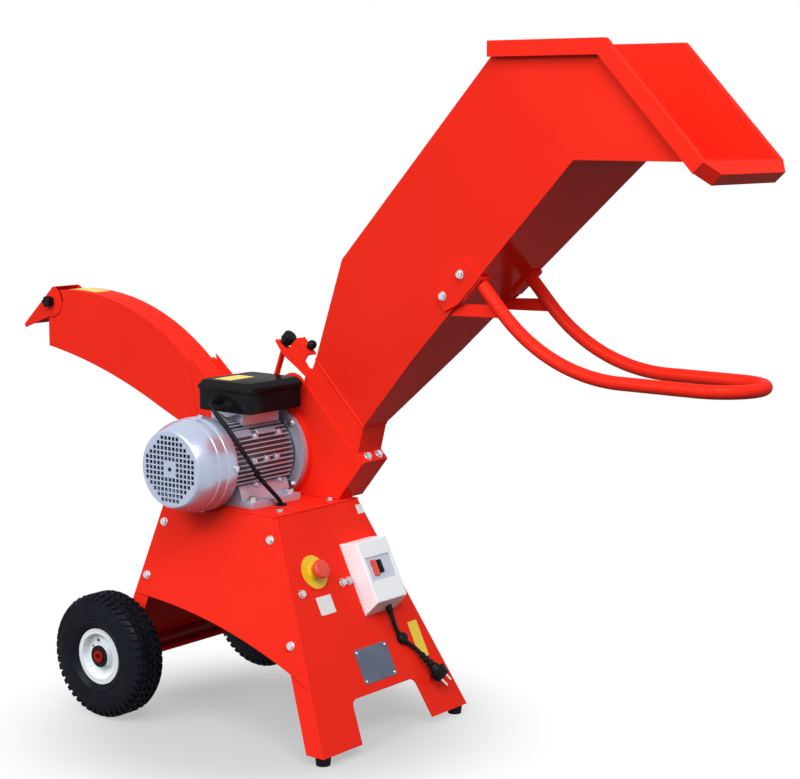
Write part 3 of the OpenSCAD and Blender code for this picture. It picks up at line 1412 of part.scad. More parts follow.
module button_block(spot, size, d, z0, z1) {
  translate([spot[0] - size[0] / 2 - d, spot[1] - size[1] / 2 - d, z0])
    cube([size[0] + 2 * d, size[1] + 2 * d, z1 - z0]);
}
module switch_face() {
  edge = 4;
  color("gray") on_front() difference() {
    union() {
      translate([0, 0, face_d]) flat_rect(shrink(face, seat_gap), face_t);
      translate([0, 0, face_d - face_t]) flat_rect(shrink(face, -edge), face_t);
    }
    button_block(stop_spot, stop_size, button_gap, 0, 2 * box_deep);
    button_block(start_spot, start_size, button_gap, 0, 2 * box_deep);
  }
}
button_out = 4;
module button(spot, size) {
  back = 1.2;
  z0 = face_d - face_t - seat_gap;
  button_block(spot, size, 0, z0 - eps, face_d + face_t + button_out);
  button_block(spot, size, back, z0 - 3, z0);
}
module stop_button() { color("red") on_front() button(stop_spot, stop_size); }
module start_button() { color(black) on_front() button(start_spot, start_size); }

collar_neck_d = 22;
collar_d = 34;
collar_h = 8;
stem_d = 16;
stem_pin_d = 10;
mushroom_gap = emergency_travel + 1;
mushroom_h = 14;
module emergency_spot() { translate([124, -77, 0]) children(); }
module emergency_collar() {
  disc_t = 1.5;
  nut_d = 34;
  color("gold") on_front() emergency_spot() difference() {
    union() {
      cylinder(d = disc_d, h = disc_t);
      cylinder(d = collar_d, h = collar_h);
      translate([0, 0, -12]) cylinder(d = collar_neck_d, h = 14);
      translate([0, 0, -sheet - 6]) cylinder(d = nut_d, h = 6);
    }
    translate([0, 0, -20]) cylinder(d = stem_d + 2 * run_gap, h = 40);
  }
}
stem_shoulder = collar_h + mushroom_gap - 0.3;
pin_h = 8;
module emergency_stem() {
  color("dimgray") on_front() emergency_spot() {
    translate([0, 0, -16]) cylinder(d = stem_d, h = 16 + stem_shoulder);
    cylinder(d = stem_pin_d, h = stem_shoulder + pin_h);
  }
}
module emergency_button() {
  dome = 5;
  z0 = collar_h + mushroom_gap;
  color("red") on_front() emergency_spot() translate([0, 0, z0]) difference() {
    union() {
      cylinder(d1 = mushroom_d - 6, d2 = mushroom_d, h = mushroom_h - 2 * dome);
      translate([0, 0, mushroom_h - 2 * dome]) cylinder(d = mushroom_d, h = dome);
      translate([0, 0, mushroom_h - dome]) cylinder(d1 = mushroom_d, d2 = mushroom_d - 2 * dome, h = dome);
    }
    translate([0, 0, -eps]) cylinder(d = stem_pin_d + 2 * run_gap, h = pin_h + eps + seat_gap);
  }
}
module rating_plate() {
  size = [72, 102];
  spot = [298, -47];
  rivet_d = 5;
  rivet_in = 6;
  plate_thick = 1;
  color("gainsboro") on_front() translate([spot[0], spot[1], 0]) {
    cube([size[0], size[1], plate_thick]);
    for (s = [rivet_in, size[0] - rivet_in]) for (y = [rivet_in, size[1] - rivet_in])
      translate([s, y, 0]) cylinder(d = rivet_d, h = 2 * plate_thick);
  }
}

// Mains cord, on the front panel from the switch box to its plug

cord_route = [[250, 85, 15], [257, 85, 15], [264, 85.4, 14.1], [271, 86.6, 12.4], [278, 88.5, 10.6],
  [285, 91.2, 8.8], [292, 94.8, 7.2], [298.5, 98.8, 6.1], [304.5, 103.2, 5.5], [310.5, 108, 5.4],
  [316.5, 113, 5.9], [322.5, 118, 6.9], [328.5, 122.6, 8.2], [335, 126.8, 9.6], [341.5, 130.4, 10.9],
  [348, 133.6, 12.1]];
cord_end = cord_route[len(cord_route) - 1];
plug_dir = unit(cord_end - cord_route[len(cord_route) - 2]);
module mains_cord() { color(black) on_front() sweep(cord_route, cord_d, [0, 0, 1]); }
module cord_clip() {
  clip_d = 24;
  clip_h = 13;
  spot = cord_route[8];
  way = cord_route[9] - cord_route[7];
  color(black) on_front() translate([spot[0], spot[1], 0]) difference() {
    union() {
      cylinder(d = clip_d, h = clip_h - 4);
      translate([0, 0, clip_h - 4]) cylinder(d1 = clip_d, d2 = clip_d - 6, h = 4);
    }
    translate([0, 0, spot[2]]) rotate([0, 0, atan2(way[1], way[0])]) translate([-clip_d, 0, 0])
      rotate([0, 90, 0]) cylinder(d = cord_d + 2.4, h = 2 * clip_d);
  }
}
module plug() {
  boot_len = 38;
  body_len = 20;
  rim_t = 8;
  pin_d = 4.8;
  pin_len = 19;
  pin_gap = 19;
  rim_d_plug = 38;
  color(black) on_front() translate(cord_end)
    rotate([0, acos(plug_dir[2]), atan2(plug_dir[1], plug_dir[0])]) {
      cylinder(d1 = cord_d + 3, d2 = 17, h = boot_len);
      translate([0, 0, boot_len - eps]) cylinder(d1 = 22, d2 = 33, h = body_len + eps);
      translate([0, 0, boot_len + body_len - eps]) cylinder(d = rim_d_plug, h = rim_t + eps);
      for (k = [-0.5, 0.5]) translate([0, k * pin_gap, boot_len + body_len + rim_t - eps])
        cylinder(d = pin_d, h = pin_len + eps);
    }
}

front_panel();
rear_panel();
side_panel_near();
side_panel_far();
top_plate();
stand_bolts();
rubber_feet();
axle();
tyre_near();
rim_near();
hub_near();
tyre_far();
rim_far();
hub_far();
motor_frame();
motor_foot();
drive_shield();
rear_shield();
fan_cover();
fan();
motor_shaft();
stator();
motor_bearings();
motor_bolts();
capacitor_box();
capacitor_lid();
capacitors();
cable_glands();
motor_cable();
motor_ring();
housing_shell();
housing_cover();
head_bolts();
cutter_drum();
knives();
rotor_bolts();
counter_knife();
hopper_throat();
hopper_neck();
hopper();
handle_tube();
handle_brackets();
clamp_plate();
clamp_strap();
clamp_knob();
lock_knob();
chute();
deflector();
deflector_knob();
switch_box();
switch_face();
stop_button();
start_button();
emergency_collar();
emergency_stem();
emergency_button();
rating_plate();
mains_cord();
cord_clip();
plug();
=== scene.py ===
import json
import math

import bmesh
import bpy
from mathutils import Matrix, Vector
from mathutils.bvhtree import BVHTree

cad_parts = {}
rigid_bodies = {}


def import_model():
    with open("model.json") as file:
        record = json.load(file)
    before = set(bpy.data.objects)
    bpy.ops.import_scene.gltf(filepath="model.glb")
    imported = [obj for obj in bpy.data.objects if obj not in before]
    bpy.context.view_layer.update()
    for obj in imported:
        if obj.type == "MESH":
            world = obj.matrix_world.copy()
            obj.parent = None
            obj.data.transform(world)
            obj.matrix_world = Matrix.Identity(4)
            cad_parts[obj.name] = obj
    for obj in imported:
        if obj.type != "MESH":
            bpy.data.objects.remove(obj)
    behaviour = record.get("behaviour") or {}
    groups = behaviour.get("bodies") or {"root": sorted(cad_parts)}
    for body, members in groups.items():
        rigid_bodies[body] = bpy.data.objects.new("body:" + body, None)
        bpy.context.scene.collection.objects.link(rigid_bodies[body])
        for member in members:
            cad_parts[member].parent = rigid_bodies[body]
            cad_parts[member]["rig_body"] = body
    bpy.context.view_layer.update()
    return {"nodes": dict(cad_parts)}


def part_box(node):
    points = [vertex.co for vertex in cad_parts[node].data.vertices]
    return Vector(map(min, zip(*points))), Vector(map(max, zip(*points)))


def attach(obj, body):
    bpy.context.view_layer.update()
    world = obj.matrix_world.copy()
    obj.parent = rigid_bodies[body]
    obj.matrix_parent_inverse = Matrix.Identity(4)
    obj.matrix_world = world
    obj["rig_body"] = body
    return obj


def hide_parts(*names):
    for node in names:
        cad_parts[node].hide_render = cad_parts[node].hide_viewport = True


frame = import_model()

# Camera: a long lens at chest height, about four metres off, that looks past the motor
# along the machine's length. Its place and angles were fitted to the photograph's edges.
camera_place = Vector((2.5422, -2.9549, 1.2320))
camera_around, camera_down, camera_roll = (math.radians(a) for a in (38.01, 7.917, 0.165))
photo_width, photo_focus, sensor_width = 800, 1931.0, 36.0
camera = bpy.data.objects.new("camera", bpy.data.cameras.new("camera"))
bpy.context.scene.collection.objects.link(camera)
camera.data.sensor_fit = "HORIZONTAL"
camera.data.sensor_width = sensor_width
camera.data.lens = photo_focus * sensor_width / photo_width
camera_back = Vector((math.sin(camera_around) * math.cos(camera_down),
                      -math.cos(camera_around) * math.cos(camera_down), math.sin(camera_down)))
camera_right = Vector((math.cos(camera_around), math.sin(camera_around), 0))
camera_up = camera_back.cross(camera_right)
camera_axes = Matrix((camera_right * math.cos(camera_roll) + camera_up * math.sin(camera_roll),
                      camera_up * math.cos(camera_roll) - camera_right * math.sin(camera_roll),
                      camera_back)).transposed().to_4x4()
camera.matrix_world = Matrix.Translation(camera_place) @ camera_axes
bpy.context.scene.camera = camera
bpy.context.scene.view_settings.view_transform = "Standard"


# Studio: a white sweep under soft light from the camera's side. The floor takes the machine's real
# shadow, over a painted grey shade round the machine that turns plain white away from it.
class Wire:
    """A socket of a node tree. Sums and products of wires add Math nodes."""

    def __init__(self, tree, socket=None):
        self.tree = tree
        self.socket = socket

    def node(self, kind, settings, sockets, out=0):
        """Adds a node with these settings and inputs, and gives one of its outputs."""
        added = self.tree.nodes.new("ShaderNode" + kind)
        for key, value in settings.items():
            if key == "stops":
                for stop, (place, level) in zip(added.color_ramp.elements, value):
                    stop.position = place
                    stop.color = (level, level, level, 1)
            else:
                setattr(added, key, value)
        for key, value in sockets.items():
            if isinstance(value, Wire):
                self.tree.links.new(value.socket, added.inputs[key])
            else:
                added.inputs[key].default_value = value
        return Wire(self.tree, added.outputs[out] if added.outputs else None)

    def __add__(self, other):
        return self.node("Math", {"operation": "ADD"}, {0: self, 1: other})

    def __mul__(self, other):
        return self.node("Math", {"operation": "MULTIPLY"}, {0: self, 1: other})

    __radd__ = __add__
    __rmul__ = __mul__


def empty_tree(owner):
    """The node tree of a material or a world, with nothing in it yet."""
    owner.use_nodes = True
    owner.node_tree.nodes.clear()
    return Wire(owner.node_tree)


def seen_directly(tree):
    """One for rays that show the background itself, and nought for those that light the object."""
    rays = [tree.node("LightPath", {}, {}, out=f"Is {kind} Ray")
            for kind in ("Camera", "Glossy", "Transmission")]
    return tree.node("Clamp", {}, {"Value": rays[0] + rays[1] + rays[2]})


def mixed(tree, share, first, second):
    """A colour between two, by the share of the second."""
    return tree.node("Mix", {"data_type": "RGBA"}, {0: share, 6: first, 7: second}, out=2)


white = (1, 1, 1, 1)
studio_light = 0.55
world = bpy.data.worlds.new("studio")
bpy.context.scene.world = world
sky = empty_tree(world)
sky_level = studio_light + seen_directly(sky) * (1 - studio_light)
backdrop = sky.node("Background", {}, {"Color": white, "Strength": sky_level})
sky.node("OutputWorld", {}, {"Surface": backdrop})

floor_reach, floor_drop, floor_sides = 14.0, 0.0006, 96
shadow_middle, shadow_inner, shadow_outer = (-0.05, -0.08, 0), 0.25, 0.62
least_white = 0.42
bounce_tone, seen_tone = (0.045, 0.045, 0.045, 1), (0.36, 0.39, 0.40, 1)
floor_mesh = bmesh.new()
bmesh.ops.create_circle(floor_mesh, cap_ends=True, segments=floor_sides, radius=floor_reach)
floor = bpy.data.objects.new("floor", bpy.data.meshes.new("floor"))
floor_mesh.to_mesh(floor.data)
floor_mesh.free()
floor.location.z = -floor_drop
bpy.context.scene.collection.objects.link(floor)
floor_white = bpy.data.materials.new("floor_white")
sweep = empty_tree(floor_white)
# Painted shade: near shadow_middle less white glow is mixed in, so the floor reads grey there even
# where it is lit.
far_off = sweep.node("VectorMath", {"operation": "DISTANCE"}, {
    0: sweep.node("NewGeometry", {}, {}, out="Position"), 1: shadow_middle}, out="Value")
whiteness = sweep.node("MapRange", {"interpolation_type": "SMOOTHSTEP"}, {
    "Value": far_off, "From Min": shadow_inner, "From Max": shadow_outer,
    "To Min": least_white, "To Max": 1.0})
shown = seen_directly(sweep)
shaded = sweep.node("BsdfPrincipled", {}, {
    "Base Color": mixed(sweep, shown, bounce_tone, seen_tone), "Roughness": 0.8,
    "Specular IOR Level": 0.0})
glow = sweep.node("Emission", {}, {"Color": white, "Strength": 1.0})
sweep.node("OutputMaterial", {}, {"Surface": sweep.node("MixShader", {}, {
    0: whiteness * shown, 1: shaded, 2: glow})})
floor.data.materials.append(floor_white)


def lamp(name, kind, place, target, energy, **settings):
    """A lamp of one kind at a place, turned towards a target."""
    light = bpy.data.lights.new(name, kind)
    light.energy = energy
    for key, value in settings.items():
        setattr(light, key, value)
    held = bpy.data.objects.new(name, light)
    held.location = place
    held.rotation_euler = (Vector(target) - Vector(place)).to_track_quat("-Z", "Y").to_euler()
    bpy.context.scene.collection.objects.link(held)


lamp("key", "SUN", (0.6, -3.0, 3.4), (0, 0, 0.5), 1.25, angle=math.radians(55))
lamp("front_softbox", "AREA", (-0.6, -3.4, 2.7), (0, 0, 0.8), 49,
     shape="RECTANGLE", size=2.4, size_y=1.2)
lamp("end_softbox", "AREA", (2.4, -1.5, 3.4), (0.2, 0, 0.5), 64,
     shape="RECTANGLE", size=1.4, size_y=1.4)


# Mains cord: a short black rubber lead out of the switch box, held by a clip on the front
# panel, with the machine's own plug on its end. All of it shows in the photograph.
def noise(tree, scale, detail, stretch=(1, 1, 1)):
    """Cloudy values from nought to one, at a scale in waves a metre along the piece's own axes."""
    place = tree.node("TexCoord", {}, {}, out="Object")
    if stretch != (1, 1, 1):
        place = tree.node("VectorMath", {"operation": "MULTIPLY"}, {0: place, 1: stretch})
    return tree.node("TexNoise", {}, {"Vector": place, "Scale": scale, "Detail": detail})


def finish(name, tone, second, rough, patch, grain, depth, stretch=(1, 1, 1), height=None, **shell):
    """A finish that drifts between two tones and two gloss levels, over a fine grain of that depth.
    Where a height is given, it is darker in hollows by painted shade. The rest sets the shader's
    own sockets."""
    cloud_share, painted_shade_level = 0.75, 0.16
    cloud_detail, grain_detail = 4, 2
    material = bpy.data.materials.new(name)
    tree = empty_tree(material)
    clouds = tree.node("ValToRGB", {"stops": [(0.3, 0), (0.7, 1)]}, {
        "Fac": noise(tree, patch, cloud_detail)})
    grains = noise(tree, grain, grain_detail, stretch)
    blend = cloud_share * clouds + (1 - cloud_share) * grains
    colour = mixed(tree, blend, (*tone, 1), (*second, 1))
    # Painted shade: the tone darkens toward a dim copy of itself where the height is low.
    if height:
        painted_shade_tone = tuple(painted_shade_level * level for level in second)
        colour = mixed(tree, height(tree), (*painted_shade_tone, 1), colour)
    gloss = rough[0] + (rough[1] - rough[0]) * blend
    bumps = tree.node("Bump", {}, {"Strength": 1.0, "Distance": depth, "Height": grains})
    shader = tree.node("BsdfPrincipled", {}, {
        "Base Color": colour, "Roughness": gloss, "Normal": bumps, **shell})
    tree.node("OutputMaterial", {}, {"Surface": shader})
    return material


def clear_coat(weight, roughness):
    """Shader settings of a surface that mirrors only through a thin clear coat."""
    return {"Specular IOR Level": 0.0, "Coat Weight": weight, "Coat Roughness": roughness}


def settle(piece, material, body, slot, *nodes):
    """Gives a piece its finish, the body that carries it and the solids that it stands for."""
    piece.data.materials.clear()
    piece.data.materials.append(material)
    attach(piece, body)
    if nodes:
        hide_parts(*nodes)
    return piece


def made(name, mesh, crease=35):
    """A piece from its faces, smooth but for edges sharper than the crease."""
    bmesh.ops.recalc_face_normals(mesh, faces=mesh.faces)
    piece = bpy.data.objects.new(name, bpy.data.meshes.new(name))
    mesh.to_mesh(piece.data)
    mesh.free()
    piece.data.shade_smooth()
    piece.data.set_sharp_from_angle(angle=math.radians(crease))
    bpy.context.scene.collection.objects.link(piece)
    return piece


def add_skin(mesh, rings):
    """Faces between each closed ring of points and the next, and over both ends."""
    for low, high in zip(rings, rings[1:]):
        for k in range(len(low)):
            after = (k + 1) % len(low)
            mesh.faces.new((low[k], low[after], high[after], high[k]))
    mesh.faces.new(rings[0])
    mesh.faces.new(rings[-1])


def add_tube(mesh, points, radius, sides):
    """Sweeps a round section along points; radius is a length, or one for each point."""
    radii = [radius] * len(points) if isinstance(radius, float) else radius
    side = None
    rings = []
    for i, point in enumerate(points):
        ahead = (points[min(i + 1, len(points) - 1)] - points[max(i - 1, 0)]).normalized()
        side = ahead.orthogonal() if side is None else side
        side = (side - ahead * side.dot(ahead)).normalized()
        other = ahead.cross(side)
        rings.append([mesh.verts.new(point + radii[i] * (math.cos(a) * side + math.sin(a) * other))
                      for a in (math.tau * k / sides for k in range(sides))])
    add_skin(mesh, rings)


def smoothed(points, steps):
    """Points on a smooth curve through the given ones, with so many steps from each to the next."""
    last = len(points) - 1
    line = []
    for i in range(last):
        before, start, end, after = (points[max(0, min(k, last))] for k in range(i - 1, i + 3))
        for t in (k / steps for k in range(steps)):
            line.append(0.5 * (2 * start + (end - before) * t
                               + (2 * before - 5 * start + 4 * end - after) * t * t
                               + (3 * start - before - 3 * end + after) * t ** 3))
    return line + [points[-1]]


shaft_x = -0.16749658
panel_top_x, panel_top_z, panel_lean = shaft_x + 0.188, 0.446, math.radians(26.3)


def on_panel(down, across, out):
    """Point on the front panel in millimetres: down from its top edge, across it and out of it."""
    down, out = down / 1000, out / 1000
    return Vector((panel_top_x + down * math.sin(panel_lean) + out * math.cos(panel_lean),
                   across / 1000,
                   panel_top_z - down * math.cos(panel_lean) + out * math.sin(panel_lean)))


black_rubber = finish("black_rubber", (0.006, 0.006, 0.008), (0.011, 0.011, 0.014), (0.36, 0.5),
                      patch=60, grain=1600, depth=0.000008, **clear_coat(0.2, 0.35))
cord_diameter, cord_sides = 0.009, 20
cord_route = [on_panel(*p) for p in (
    (250, 85, 15), (257, 85, 15), (264, 85.4, 14.1), (271, 86.6, 12.4), (278, 88.5, 10.6),
    (285, 91.2, 8.8), (292, 94.8, 7.2), (298.5, 98.8, 6.1), (304.5, 103.2, 5.5), (310.5, 108, 5.4),
    (316.5, 113, 5.9), (322.5, 118, 6.9), (328.5, 122.6, 8.2), (335, 126.8, 9.6),
    (341.5, 130.4, 10.9), (348, 133.6, 12.1))]
cord_line = smoothed(cord_route, steps=2)
cord_mesh = bmesh.new()
add_tube(cord_mesh, cord_line, cord_diameter / 2, cord_sides)
mains_lead = settle(made("mains_lead", cord_mesh), black_rubber, "machine", "black_rubber",
                    "mains_cord")


# Plug: a black rubber machine plug with a boot of three thick rings, a hand flange and two
# bright round pins, moulded on the cord's end.
def add_turned(mesh, profile, place, axis, sides=48, flutes=0, flute_depth=0.0, capped=True):
    """Turns a profile of radius and height about an axis through place, with flutes along it.
    Where it is capped, its open ends are closed."""
    turn = Vector((0, 0, 1)).rotation_difference(Vector(axis)).to_matrix()
    rings = []
    for radius, height in profile:
        ring = []
        for k in range(sides if radius > 0 else 1):
            a = math.tau * k / sides
            r = radius - flute_depth * (0.5 + 0.5 * math.cos(flutes * a))
            spot = Vector((r * math.cos(a), r * math.sin(a), height))
            ring.append(mesh.verts.new(Vector(place) + turn @ spot))
        rings.append(ring)
    for low, high in zip(rings, rings[1:]):
        for k in range(sides):
            corners = [low[k % len(low)], low[(k + 1) % len(low)],
                       high[(k + 1) % len(high)], high[k % len(high)]]
            mesh.faces.new(list(dict.fromkeys(corners)))
    for ring in (rings[0], rings[-1]):
        if capped and len(ring) > 1:
            mesh.faces.new(ring)


cord_end = cord_route[-1]
plug_axis = (cord_end - cord_route[-2]).normalized()
boot_rings, ring_pitch, ring_growth = 3, 0.0112, 0.0009
boot_profile = [(cord_diameter / 2, 0.0)]
for ring in range(boot_rings):
    ring_z = 0.0005 + ring * ring_pitch
    ring_r = 0.0066 + ring * ring_growth
    groove_r = ring_r - 0.0024
    boot_profile += [(ring_r - 0.0008, ring_z), (ring_r, ring_z + 0.0010),
                     (ring_r, ring_z + 0.0072), (ring_r - 0.0008, ring_z + 0.0082),
                     (groove_r, ring_z + 0.0086), (groove_r, ring_z + 0.0110)]
boot_profile += [(0.0060, 0.0345)]
neck_profile = [(0.0060, 0.0335), (0.0092, 0.0338), (0.0100, 0.0350), (0.0128, 0.0450),
                (0.0134, 0.0475)]
flange_profile = [(0.0125, 0.0470), (0.0180, 0.0474), (0.0188, 0.0480), (0.0190, 0.0490),
                  (0.0190, 0.0505), (0.0186, 0.0516), (0.0178, 0.0520), (0.0160, 0.0522)]
front_profile = [(0.0160, 0.0515), (0.0166, 0.0522), (0.0166, 0.0645), (0.0160, 0.0656),
                 (0.0150, 0.0660), (0.0110, 0.0660)]
plug_mesh = bmesh.new()
add_turned(plug_mesh, boot_profile, cord_end, plug_axis)
add_turned(plug_mesh, neck_profile, cord_end, plug_axis)
add_turned(plug_mesh, flange_profile, cord_end, plug_axis, sides=64)
add_turned(plug_mesh, front_profile, cord_end, plug_axis, sides=96, flutes=8, flute_depth=0.0010)
plug_body = settle(made("plug_body", plug_mesh), black_rubber, "machine", "black_rubber", "plug")
bright_steel = finish("bright_steel", (0.72, 0.73, 0.75), (0.62, 0.63, 0.66), (0.16, 0.3),
                      patch=40, grain=900, depth=0.00003, Metallic=1.0)
panel_out = Vector((math.cos(panel_lean), 0, math.sin(panel_lean)))
pin_offset = 0.0095
pin_profile = [(0.0024, 0.0655), (0.0024, 0.0830), (0.0019, 0.0844), (0.0010, 0.0850), (0, 0.0850)]
pin_side = plug_axis.cross(panel_out).normalized()
pin_mesh = bmesh.new()
for pin in (-1, 1):
    add_turned(pin_mesh, pin_profile, cord_end + pin * pin_offset * pin_side, plug_axis, sides=20)
plug_pins = settle(made("plug_pins", pin_mesh), bright_steel, "machine", "bright_steel")
cord_length = sum((b - a).length for a, b in zip(cord_line, cord_line[1:]))


# Stand panels: 2.5 mm steel sheet, folded along its edges, bolted together and sprayed
# gloss red. The folds and cut edges are a little round.
def rounded(name, mesh, radius):
    """A piece from a solid's facets, with the flat ones joined and the long sharp edges rounded."""
    same_point, same_plane = 2e-6, math.radians(0.4)
    shortest, sharpest = 0.006, math.radians(22)
    bmesh.ops.remove_doubles(mesh, verts=mesh.verts, dist=same_point)
    bmesh.ops.dissolve_limit(mesh, angle_limit=same_plane, verts=mesh.verts, edges=mesh.edges)
    sharp = [e for e in mesh.edges if len(e.link_faces) == 2 and e.calc_length() > shortest
             and e.calc_face_angle(0) > sharpest]
    bmesh.ops.bevel(mesh, geom=sharp, offset=radius, offset_type="OFFSET", segments=3, profile=0.5,
                    affect="EDGES", clamp_overlap=False)
    bmesh.ops.connect_verts_concave(mesh, faces=mesh.faces)
    piece = made(name, mesh, crease=40)
    flat = piece.modifiers.new("flat_faces", "WEIGHTED_NORMAL")
    flat.keep_sharp = True
    return piece


def facets(*nodes):
    """The facets of these CAD solids together."""
    mesh = bmesh.new()
    for node in nodes:
        mesh.from_mesh(frame["nodes"][node].data)
    return mesh


def dress(nodes, material, slot, radius):
    """Rounds each of these solids by a radius and gives it a finish, on its own body."""
    for node in nodes:
        body = frame["nodes"][node]["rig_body"]
        settle(rounded(node + "_shown", facets(node), radius), material, body, slot, node)


red_paint = finish("red_paint", (0.88, 0.026, 0.012), (0.83, 0.022, 0.010), (0.26, 0.34),
                   patch=5, grain=260, depth=0.000006, **clear_coat(0.09, 0.16))
dress(["front_panel", "rear_panel", "side_panel_near", "side_panel_far", "top_plate"],
      red_paint, "red_paint", 0.001)
zinc_steel = finish("zinc_steel", (0.70, 0.72, 0.75), (0.55, 0.57, 0.60), (0.2, 0.38),
                    patch=120, grain=1500, depth=0.00004, Metallic=1.0)
dress(["stand_bolts"], zinc_steel, "zinc_steel", 0.0005)


# Feet: black moulded rubber buttons, pulled up through holes in the front panel's tabs.
# The clip that holds the mains cord to the panel is of the same rubber.
def recolour(nodes, material):
    """Gives solids whose shape is right a better finish."""
    for node in nodes:
        solid = frame["nodes"][node]
        solid.data.materials.clear()
        solid.data.materials.append(material)


recolour(["rubber_feet", "cord_clip"], black_rubber)


# Wheels: air tyres with a block tread on pressed steel rims in white enamel, each with a
# black hub bush. They turn on a steel axle tube in dull dark red paint.
axle_paint = finish("axle_paint", (0.36, 0.012, 0.008), (0.30, 0.010, 0.007), (0.30, 0.42),
                    patch=30, grain=260, depth=0.000006, **clear_coat(0.14, 0.2))
recolour(["axle"], axle_paint)
wheel_y, axle_x, axle_z = 0.2435, shaft_x - 0.178, 0.130
tyre_rubber = finish("tyre_rubber", (0.005, 0.006, 0.010), (0.010, 0.012, 0.018), (0.38, 0.5),
                     patch=35, grain=900, depth=0.00002, **clear_coat(0.13, 0.3))
white_enamel = finish("white_enamel", (0.80, 0.85, 0.88), (0.76, 0.81, 0.84), (0.25, 0.38),
                      patch=20, grain=350, depth=0.00002,
                      **{"Coat Weight": 0.25, "Coat Roughness": 0.15})
carcass = [(0.0507, 0.0255), (0.0585, 0.0268), (0.0615, 0.0300), (0.0650, 0.0345), (0.0700, 0.0372),
           (0.0712, 0.0382), (0.0742, 0.0384), (0.0754, 0.0376), (0.0850, 0.0390), (0.0980, 0.0390),
           (0.1080, 0.0374), (0.1158, 0.0346), (0.1209, 0.0297), (0.1240, 0.0225), (0.1252, 0.0120),
           (0.1255, 0.0)]
tread_top, tread_flat = 0.1298, 0.022
shoulder_drop, shoulder_width, shoulder_power = 0.0085, 0.015, 1.5
tread_blocks, tyre_sides = 46, 120
# Each row of blocks: start and end in pitches, near and far side from the tyre's middle,
# radius of the blocks' roots, depth of their tops under the tread, and turn for each metre across.
tread_rows = [(0.0, 0.62, 0.0015, 0.0125, 0.1215, 0.0, 9),
              (0.45, 1.1, 0.0145, 0.0245, 0.1205, 0.0, -7),
              (0.0, 0.66, 0.0262, 0.0365, 0.1085, 0.0006, 5),
              (0.6, 0.95, 0.0300, 0.0372, 0.1085, 0.0035, 0)]


def tread_radius(across):
    """Outer radius of the tread at a distance from the tyre's middle."""
    past_flat = max(0.0, abs(across) - tread_flat)
    return tread_top - shoulder_drop * (past_flat / shoulder_width) ** shoulder_power


def add_block(mesh, start, end, near, far, root, sunk, skew):
    """One tread block between two angles and two distances across the tyre, narrower at its top."""
    top_inset, half_length, steps = 0.0014, 0.009, 3
    middle = 0.5 * (start + end)
    rows = []
    for at_top, inset in ((False, 0.0), (True, top_inset)):
        inward = math.copysign(inset, far - near)
        for across in (near + inward, 0.5 * (near + far), far - inward):
            r = tread_radius(across) - sunk if at_top else root
            row = []
            for k in range(steps + 1):
                a = start + (end - start) * k / steps
                a = middle + (a - middle) * (1 - inset / half_length) + skew * (across - near)
                row.append(mesh.verts.new((r * math.cos(a), across, r * math.sin(a))))
            rows.append(row)
    for low, high in ((0, 1), (1, 2), (3, 4), (4, 5), (0, 3), (2, 5)):
        for k in range(steps):
            mesh.faces.new((rows[low][k], rows[low][k + 1], rows[high][k + 1], rows[high][k]))
    for k in (0, steps):
        for i in (0, 1):
            mesh.faces.new((rows[i][k], rows[i + 1][k], rows[i + 4][k], rows[i + 3][k]))


def air_tyre(name):
    """A tyre about its own middle: a turned carcass, and staggered tread blocks on both halves."""
    mesh = bmesh.new()
    profile = carcass + [(r, -y) for r, y in reversed(carcass[:-1])]
    add_turned(mesh, profile + [profile[0]], (0, 0, 0), (0, 1, 0), tyre_sides, capped=False)
    pitch = math.tau / tread_blocks
    for k in range(tread_blocks):
        for side, stagger in ((-1, 0.0), (1, 0.5)):
            for start, end, near, far, root, sunk, skew in tread_rows:
                add_block(mesh, (k + stagger + start) * pitch, (k + stagger + end) * pitch,
                          side * near, side * far, root, sunk, side * skew)
    return made(name, mesh, crease=28)


for side, sign in (("near", -1), ("far", 1)):
    tyre = air_tyre("tyre_" + side + "_shown")
    tyre.location = (axle_x, sign * wheel_y, axle_z)
    settle(tyre, tyre_rubber, "wheel_" + side, "tyre_rubber", "tyre_" + side)
dress(["rim_near", "rim_far"], white_enamel, "white_rim", 0.0008)
black_plastic = finish("black_plastic", (0.005, 0.005, 0.006), (0.009, 0.009, 0.011), (0.16, 0.24),
                       patch=30, grain=1300, depth=0.000004, **clear_coat(0.2, 0.16))
dress(["hub_near", "hub_far"], black_plastic, "black_plastic", 0.0008)


# Motor: a finned aluminium frame between two end shields, with a pressed steel fan cover
# at its back. The castings are bare and the cover is sprayed silver.
shaft_z = 0.539


def painted_fin_shade(tree):
    """Painted shade between the fins: nought on the frame's barrel between them and one at their
    tips.
    """
    dark_radius, light_radius = 0.0803, 0.0866
    place = tree.node("TexCoord", {}, {}, out="Object")
    spoke = tree.node("VectorMath", {"operation": "MULTIPLY_ADD"}, {
        0: place, 1: (1, 0, 1), 2: (-shaft_x, 0, -shaft_z)})
    radius = tree.node("VectorMath", {"operation": "LENGTH"}, {0: spoke}, out="Value")
    return tree.node("MapRange", {}, {
        "Value": radius, "From Min": dark_radius, "From Max": light_radius})


cast_aluminium = finish("cast_aluminium", (0.56, 0.58, 0.70), (0.46, 0.48, 0.60), (0.26, 0.38),
                        patch=45, grain=700, depth=0.000012, Metallic=0.45)
